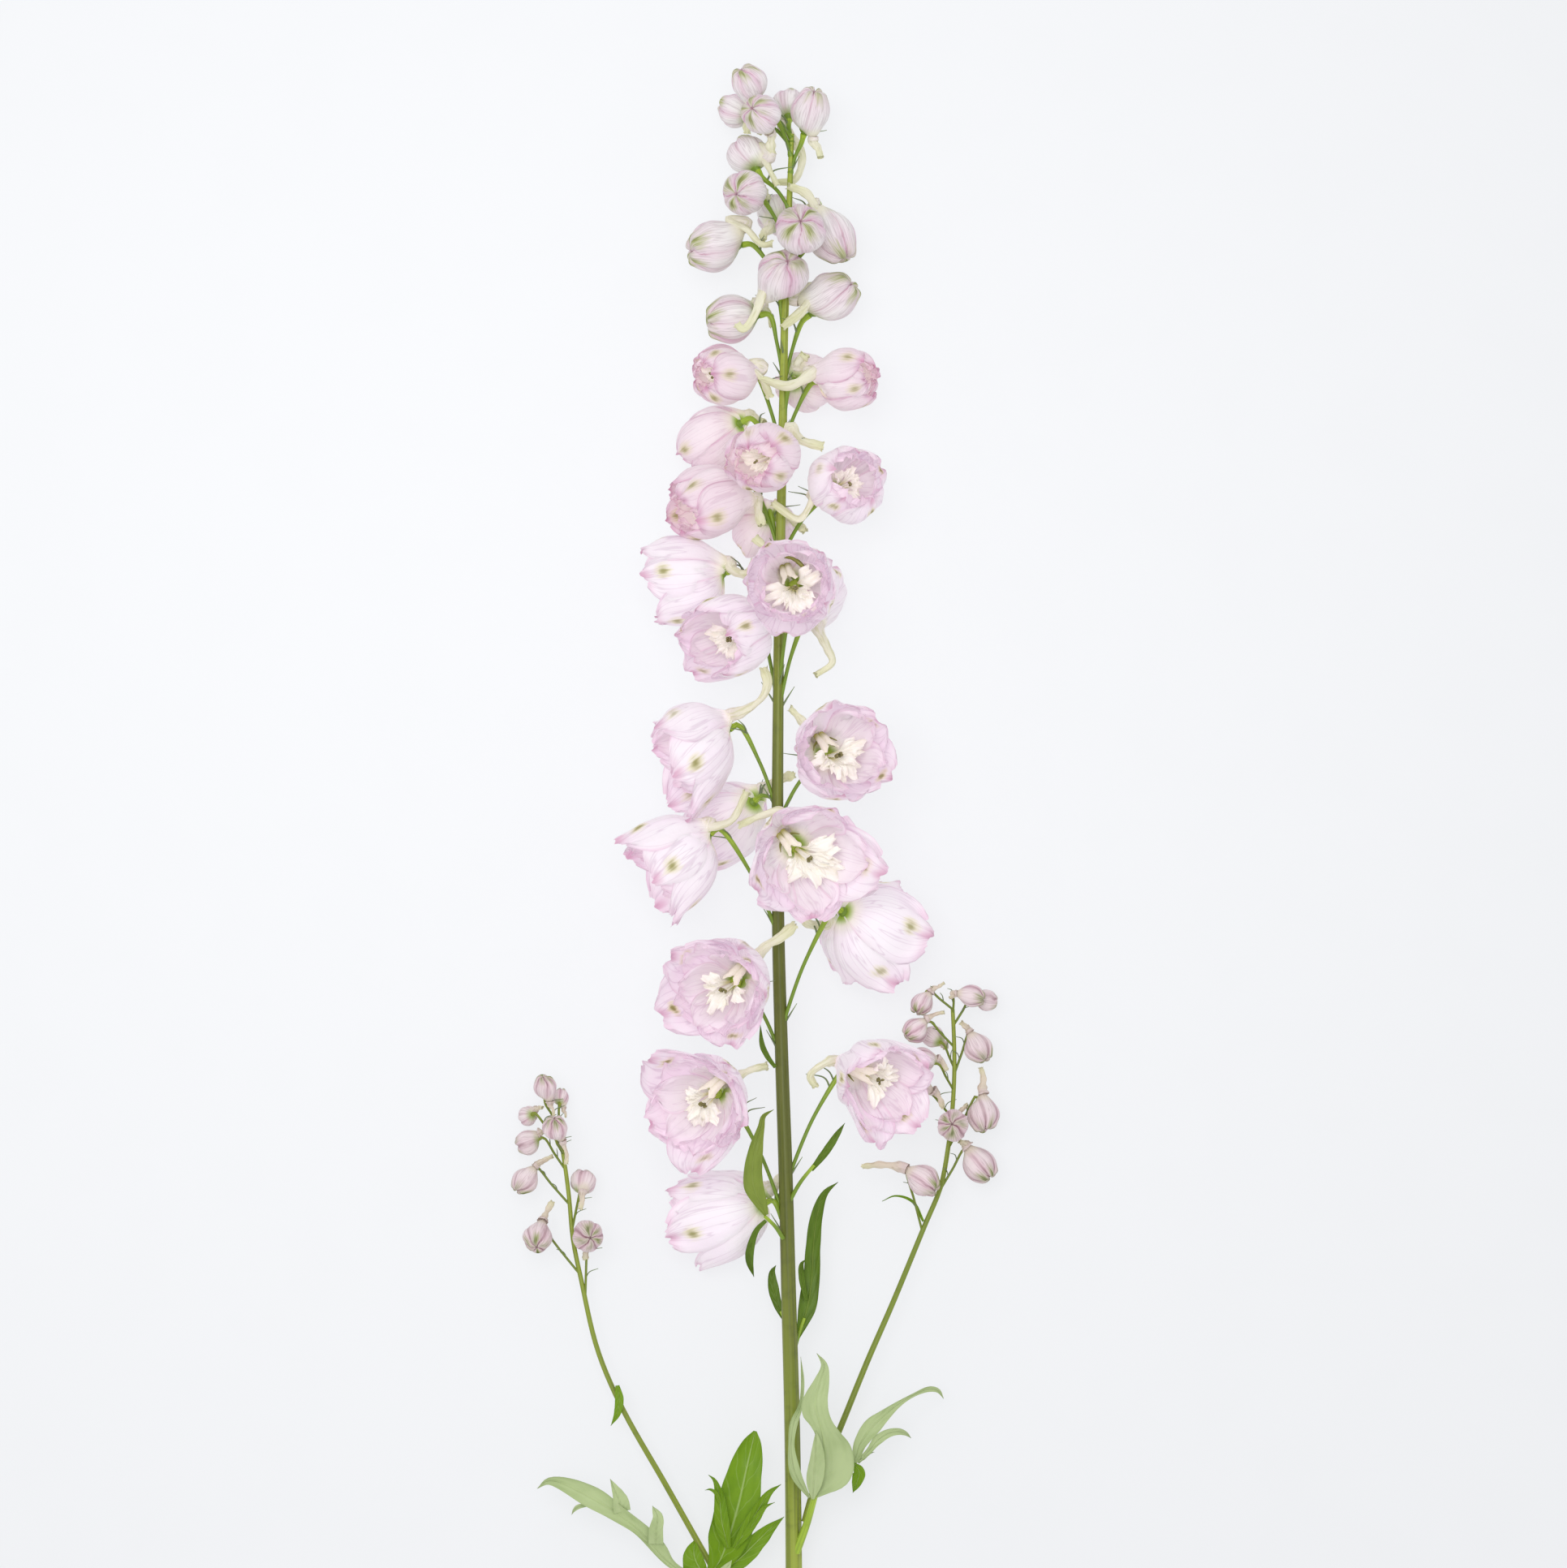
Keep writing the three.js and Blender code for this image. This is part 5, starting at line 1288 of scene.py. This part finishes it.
def pedicel_line(flower, foot):
    """The line of a flower's stalk: up from the stem, then over into the back of the receptacle."""
    end = flower.at(0, 0, -RECEPTACLE_DEPTH + PEDICEL_END)
    bend = flower.at(0, 0, -RECEPTACLE_DEPTH - PEDICEL_BEND)
    rise = foot.lerp(bend, 0.45)
    rise.y += 0.1 * (foot - bend).length
    return [foot, rise, bend, end]


def pedicel_radius(along, turn):
    """The radius of a flower's stalk, thicker where it leaves the stem and below the flower."""
    swollen = 0.95 + 0.7 * smooth(along, 0.14, 0)
    swollen += 0.35 * smooth(along, 0.5, 0.8)
    swollen += 0.4 * smooth(along, 0.85, 1)
    return PEDICEL_RADIUS * swollen


def spray_pedicel_radius(along, turn):
    """The radius of a side bud's stalk, thicker below the bud."""
    return SPRAY_PEDICEL_RADIUS * (1 + 0.9 * smooth(along, 0.8, 1))


def bract(foot, towards, length, root, curl, seed):
    """A thread-like bract beside a stalk, curling away at its end."""
    out = Vector((towards.x - foot.x, 0, towards.z - foot.z)).normalized()
    middle = foot + out * (0.3 * length) + Vector((0, 0.5 * length, 0))
    tip = foot + out * ((0.5 + curl) * length) + Vector((0, (1 - 0.3 * curl) * length, 0))
    return tube([foot, middle, tip], taper(root, BRACT_TIP_RADIUS), *BRACT_MESH, seed)


def lobe(points, widths, fold, upper_first, seed):
    """A leaf lobe: a blade on a curved rib, as wide to each side as the widths say, with its margins lifted.

    widths are (share of the rib, half width to the left, half width to the right).
    """
    line = smooth_line(points, LOBE_STEPS)
    tangents = tangents_of(line)
    length = length_of(line)
    up = Vector((0, 0, 1))
    widest = max(max(left, right) for _, left, right in widths)
    stretch = 4 * widest  # the outline is smoothed as a line this long, so that it follows its points
    outline = smooth_line([(left, right, share * stretch) for share, left, right in widths], OUTLINE_STEPS)

    def surface(across, along):
        tangent = part_way(tangents, along)
        sideways = tangent.cross(up).normalized()
        normal = sideways.cross(tangent).normalized()
        target = along * stretch
        k = next((i for i, p in enumerate(outline) if p.z >= target), len(outline) - 1)
        before, after = outline[max(k - 1, 0)], outline[k]
        width = before.lerp(after, (target - before.z) / max(after.z - before.z, 1e-6))
        half = max(0.08, width.y if across > 0 else width.x)
        edge = abs(across)
        jagged = 1 + 0.05 * bumpy(9 * along, seed, math.copysign(1, across)) * smooth(along, 0.1, 0.3)
        ripple = 0.12 * half * bumpy(1.5 * across, 5 * along, seed) * edge
        lift = fold * across * across * min(1, half / (0.6 * widest))
        return part_way(line, along) + sideways * (across * half * jagged) + normal * (lift + ripple)

    mesh = LOBE_MESH if length > LONG_LOBE else SMALL_LOBE_MESH
    return blade(surface, *mesh, LEAF_THICKNESS, (widest, length), seed, upper_first)


# ---------------------------------------------------------------- pieces


def piece(name, parts, materials, node):
    """One object out of parts, (mesh, index of its material), standing for a node of the solids."""
    whole = bmesh.new()
    for part, index in parts:
        for face in part.faces:
            face.material_index = index
            face.smooth = True
        scratch = bpy.data.meshes.new("scratch")
        part.to_mesh(scratch)
        part.free()
        whole.from_mesh(scratch)
        bpy.data.meshes.remove(scratch)
    for v in whole.verts:
        if v.co.z < PRESS_HEIGHT:
            v.co.z = PRESS_HEIGHT * math.exp(v.co.z / PRESS_HEIGHT - 1)
    bmesh.ops.transform(whole, matrix=Matrix.Scale(MM, 4), verts=whole.verts)
    mesh = bpy.data.meshes.new(name)
    whole.to_mesh(mesh)
    whole.free()
    mesh.set_sharp_from_angle(angle=SHARP_ANGLE)
    for material in materials:
        mesh.materials.append(material)
    made = bpy.data.objects.new(name, mesh)
    bpy.context.scene.collection.objects.link(made)
    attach(made, "root")
    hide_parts(node)


def stalk_parts(flower, number, opening, foot_height):
    """A flower's stalk with the bracts at its foot and near its top, as parts of the stem's piece."""
    foot = stem_at(foot_height)
    line = pedicel_line(flower, foot)
    foot_bract = FOOT_BRACT if opening > HALF_OPEN else YOUNG_FOOT_BRACT
    parts = [
        (tube(line, pedicel_radius, *PEDICEL_MESH), 1),
        (bract(foot, flower.root, *foot_bract, FOOT_BRACT_CURL, number), 2),
    ]
    tops = TOP_BRACT_PLACES[:1] if opening < HALF_OPEN else TOP_BRACT_PLACES
    for share, curl in tops:
        start = point_on(line, share, PEDICEL_STEPS)
        towards = start + flower.up + flower.side * (curl - 0.7)
        parts.append((bract(start, towards, *TOP_BRACT, curl, number), 2))
    return parts


def bud_piece(flower, name, number):
    """A shut bud with its spur and its receptacle."""
    reach, spread, depth = TIP_BUD_FUNNEL if number < TIP_BUDS else BUD_FUNNEL
    line = flower.spur_line(depth * flower.width)
    parts = [
        (bud(flower, number, reach, spread, BUD_MESH), 0),
        (spur(line, *BUD_SPUR_RADII, number), 1),
        (receptacle(flower), 2),
    ]
    piece(name + "_shut", parts, [BUD, SPUR, STALK], name)


def calyx(flower, name, number, opening):
    """A flower's sepals: five outer ones, four inside them, and four more in a young or a double flower."""
    young = opening < HALF_OPEN
    seen = opening - YOUNG_SHUT if young else opening
    seed = SEEDS_APART * number
    draw = random.Random(1000 + number)
    parts = []
    for i, (wider, longer) in enumerate(SEPAL_HABITS.get(name, [(0, 1)] * SEPALS)):
        cut = draw.uniform(*YOUNG_CUTS) if young and SEPAL_LAYS[i][0] > 0 else 1
        outer = sepal(flower, seen + wider, i * FIFTH, seed + i, 1, longer, cut, lays=SEPAL_LAYS[i])
        parts.append((outer, 0))
    inner = {"size": INNER_SEPAL_SIZE, "wide": NARROW, "mesh": INNER_SEPAL_MESH}
    inner["ruffle"] = YOUNG_INNER_SEPAL_RUFFLE if young else INNER_SEPAL_RUFFLE
    for i, turn in enumerate(INNER_SEPAL_TURNS):
        parts.append((sepal(flower, seen * INNER_SEPAL_OPENING, turn, seed + 10 + i, **inner), 3))
    core = {"size": CORE_SEPAL_SIZE, "reach": CORE_SEPAL_REACH, "wide": NARROW, "mesh": CORE_SEPAL_MESH}
    core["ruffle"] = CORE_SEPAL_RUFFLE
    if young or name in DOUBLE:
        for i, turn in enumerate(CORE_SEPAL_TURNS):
            parts.append((sepal(flower, seen, turn, seed + 20 + i, **core), 3))
    return parts


def heart(flower, name, number, opening):
    """A flower's inner petals and stamens, with the nectaries of an open one and the dark olive lip of a few.
    """
    long, wide = YOUNG_BEE_SHARES if opening < HALF_OPEN else BEE_SHARES
    reach = long * flower.length - BEE_BASE
    spread = wide * flower.width * BEES.get(name, 1)
    limbs, stamens = OPEN_BEE if name in BEES else YOUNG_BEE
    pale, anthers = bee(flower, limbs, stamens, reach, spread, SEEDS_APART * number)
    parts = [(part, 0) for part in pale] + [(part, 1) for part in anthers]
    if opening > HALF_OPEN:
        parts += [(nectary(flower, reach, hand, number), 2) for hand in (-1, 1)]
    if name in WITH_LIP:
        parts.append((lip(flower, *OLIVE_LIPS.get(name, OLIVE_LIP)), 3))
    return parts


def bloom_pieces(flower, name, number, opening):
    """A flower's sepals and spur, and its inner petals, which are a piece of their own where they show."""
    sepal_looks = [SEPAL, SPUR, STALK, INNER_SEPAL]
    if opening < HALF_OPEN:
        sepal_looks = [YOUNG, SPUR, STALK, YOUNG_INNER]
    bee_looks = [BEE, ANTHER, NECTARY, LIP]
    parts = calyx(flower, name, number, opening)
    line = flower.spur_line(FUNNEL_DEPTH)
    parts.append((spur(line, SPUR_ROOT_RADIUS, SPUR_TIP_RADIUS, number), 1))
    parts.append((receptacle(flower), 2))
    middle = heart(flower, name, number, opening)
    if name in BEES:
        bee_name = name.replace("bloom", "bee")
        piece(bee_name + "_petals", middle, bee_looks, bee_name)
    else:
        parts += [(part, index + len(sepal_looks)) for part, index in middle]
    piece(name + "_sepals", parts, sepal_looks + bee_looks, name)


def lobe_parts(lobes, index):
    """Leaf lobes out of one of the tables, as parts of one material."""
    return [(lobe(*values, number), index) for number, values in enumerate(lobes)]


def spray_bud_parts(stalk_points, number, centre, facing, length, width, share, spur_end):
    """One bud of a side spray, with its stalk, its spur and thread-like bracts."""
    seed = SPRAY_SEED + number
    reach, spread, depth = SPRAY_BUD_FUNNEL
    root, tip = SPRAY_SPUR_RADII
    spur_start = bud_spur_start(length, width)
    flower = Flower(centre, facing, SPRAY_BUD_LENGTH * length, width, spur_end, spur_start)
    start = point_on(stalk_points, share, SPRAY_STEPS)
    bend, end = flower.at(0, 0, -SPRAY_PEDICEL_BEND), flower.at(0, 0, SPRAY_PEDICEL_END)
    line = [start, start.lerp(bend, 0.5), bend, end]
    parts = [
        (tube(line, spray_pedicel_radius, *SPRAY_PEDICEL_MESH), 0),
        (bud(flower, seed, reach, spread, SPRAY_BUD_MESH), 1),
        (spur(flower.spur_line(depth * width), root * width, tip * width, seed), 2),
    ]
    for at, curl in SPRAY_BRACT_PLACES:
        foot = point_on(line, at, SPRAY_PEDICEL_STEPS)
        parts.append((bract(foot, foot + flower.up + flower.side, *SPRAY_BRACT, curl, number), 3))
    return parts


stalks = []
for number, (name, centre, facing, length, width, opening, foot_height, spur_end) in enumerate(FLORETS):
    shut = opening == 0
    spur_start = bud_spur_start(length, width) if shut else BLOOM_SPUR_START
    flower = Flower(centre, facing, length, width, spur_end, spur_start, SPUR_KINKS.get(name, ()))
    stalks += stalk_parts(flower, number, opening, foot_height)
    if shut:
        bud_piece(flower, name, number)
    else:
        bloom_pieces(flower, name, number, opening)

stem = tube(STEM_LINE, stem_radius, *STEM_MESH)
stem_looks = [STEM, STALK, BRACT, BRACT_LEAF]
piece("main_stem_green", [(stem, 0), *stalks, *lobe_parts(STEM_LEAVES, 3)], stem_looks, "main_stem")

for name, spray in SPRAYS.items():
    parts = [(tube(spray["line"], taper(*SPRAY_RADII), *SPRAY_STALK_MESH), 0)]
    parts += lobe_parts(spray["bracts"], 4)
    for number, values in enumerate(spray["buds"]):
        parts += spray_bud_parts(spray["line"], number, *values)
    piece(name + "_buds", parts, [SPRAY_STALK, SPRAY_BUD, SPRAY_SPUR, BRACT, LEAF], name)

for name, leaf in LEAVES.items():
    radii, blade_look = LEAF_STALK_RADII, LEAF
    if name.startswith("bract"):
        radii, blade_look = BRACT_LEAF_STALK_RADII, BRACT_LEAF
    parts = [(tube(leaf["stalk"], taper(*radii), *LEAF_STALK_MESH), 0), *lobe_parts(leaf["lobes"], 1)]
    piece(name + "_blades", parts, [STALK, blade_look], name)

# ---------------------------------------------------------------- surface and light, in metres

# where the painted pool of light on the sheet is brightest
SHEET_MIDDLE = (-0.12, 0.2, 0.0)
SHEET_HALF_SIZE = 20
LIGHT_PLACE = (-0.45, 0.65, 4.2)
LIGHT_AIM = (0, 0.05, 0)
LIGHT_SIZE = 2.4
LIGHT_POWER = 74  # watts
ROOM_STRENGTH = 0.82


# Opal acrylic with a painted glow: a soft white field with hardly any shadow, as the glow outshines them.
# The glow is a painted pool of light, a little dimmer away from its middle.
def opal_sheet(name):
    material, tree = begin(name)
    place = add(tree, "TexCoord", None, "Object")
    far = add(tree, "VectorMath", {"operation": "DISTANCE", 0: place, 1: SHEET_MIDDLE}, "Value")
    dimming = {"interpolation_type": "SMOOTHSTEP", "Value": far, "From Max": 0.7}
    glow = add(tree, "MapRange", dimming | {"To Min": 0.775, "To Max": 0.67})
    haze = add(tree, "TexNoise", {"Vector": place, "Scale": 30.0, "Detail": 2.0})
    colour = painted(tree, srgb("#6f7072"), [(haze, 0.4, 0.7, 0.2, "#6a6b6d")])
    sheet = {"Base Color": colour, "Roughness": 0.7}
    sheet |= {"Emission Color": srgb("#fafbfd"), "Emission Strength": glow}
    add(tree, "OutputMaterial", {"Surface": add(tree, "BsdfPrincipled", sheet)})
    return material


floor_mesh = bpy.data.meshes.new("floor")
bm = bmesh.new()
bmesh.ops.create_grid(bm, x_segments=1, y_segments=1, size=SHEET_HALF_SIZE)
bm.to_mesh(floor_mesh)
bm.free()
floor_mesh.materials.append(opal_sheet("opal_acrylic_sheet"))
floor = bpy.data.objects.new("floor", floor_mesh)
bpy.context.scene.collection.objects.link(floor)

world = bpy.data.worlds.new("soft_white_room")
world.use_nodes = True
room = world.node_tree.nodes["Background"].inputs
room["Color"].default_value = srgb("#fcfdff")
room["Strength"].default_value = ROOM_STRENGTH
bpy.context.scene.world = world

light_data = bpy.data.lights.new("overhead", "AREA")
light_data.size = LIGHT_SIZE
light_data.energy = LIGHT_POWER
light = bpy.data.objects.new("overhead", light_data)
light.location = LIGHT_PLACE
light.rotation_mode = "QUATERNION"
light.rotation_quaternion = (Vector(LIGHT_AIM) - Vector(LIGHT_PLACE)).to_track_quat("-Z", "Y")
light.visible_camera = False
bpy.context.scene.collection.objects.link(light)

bpy.context.scene.view_settings.view_transform = "Standard"
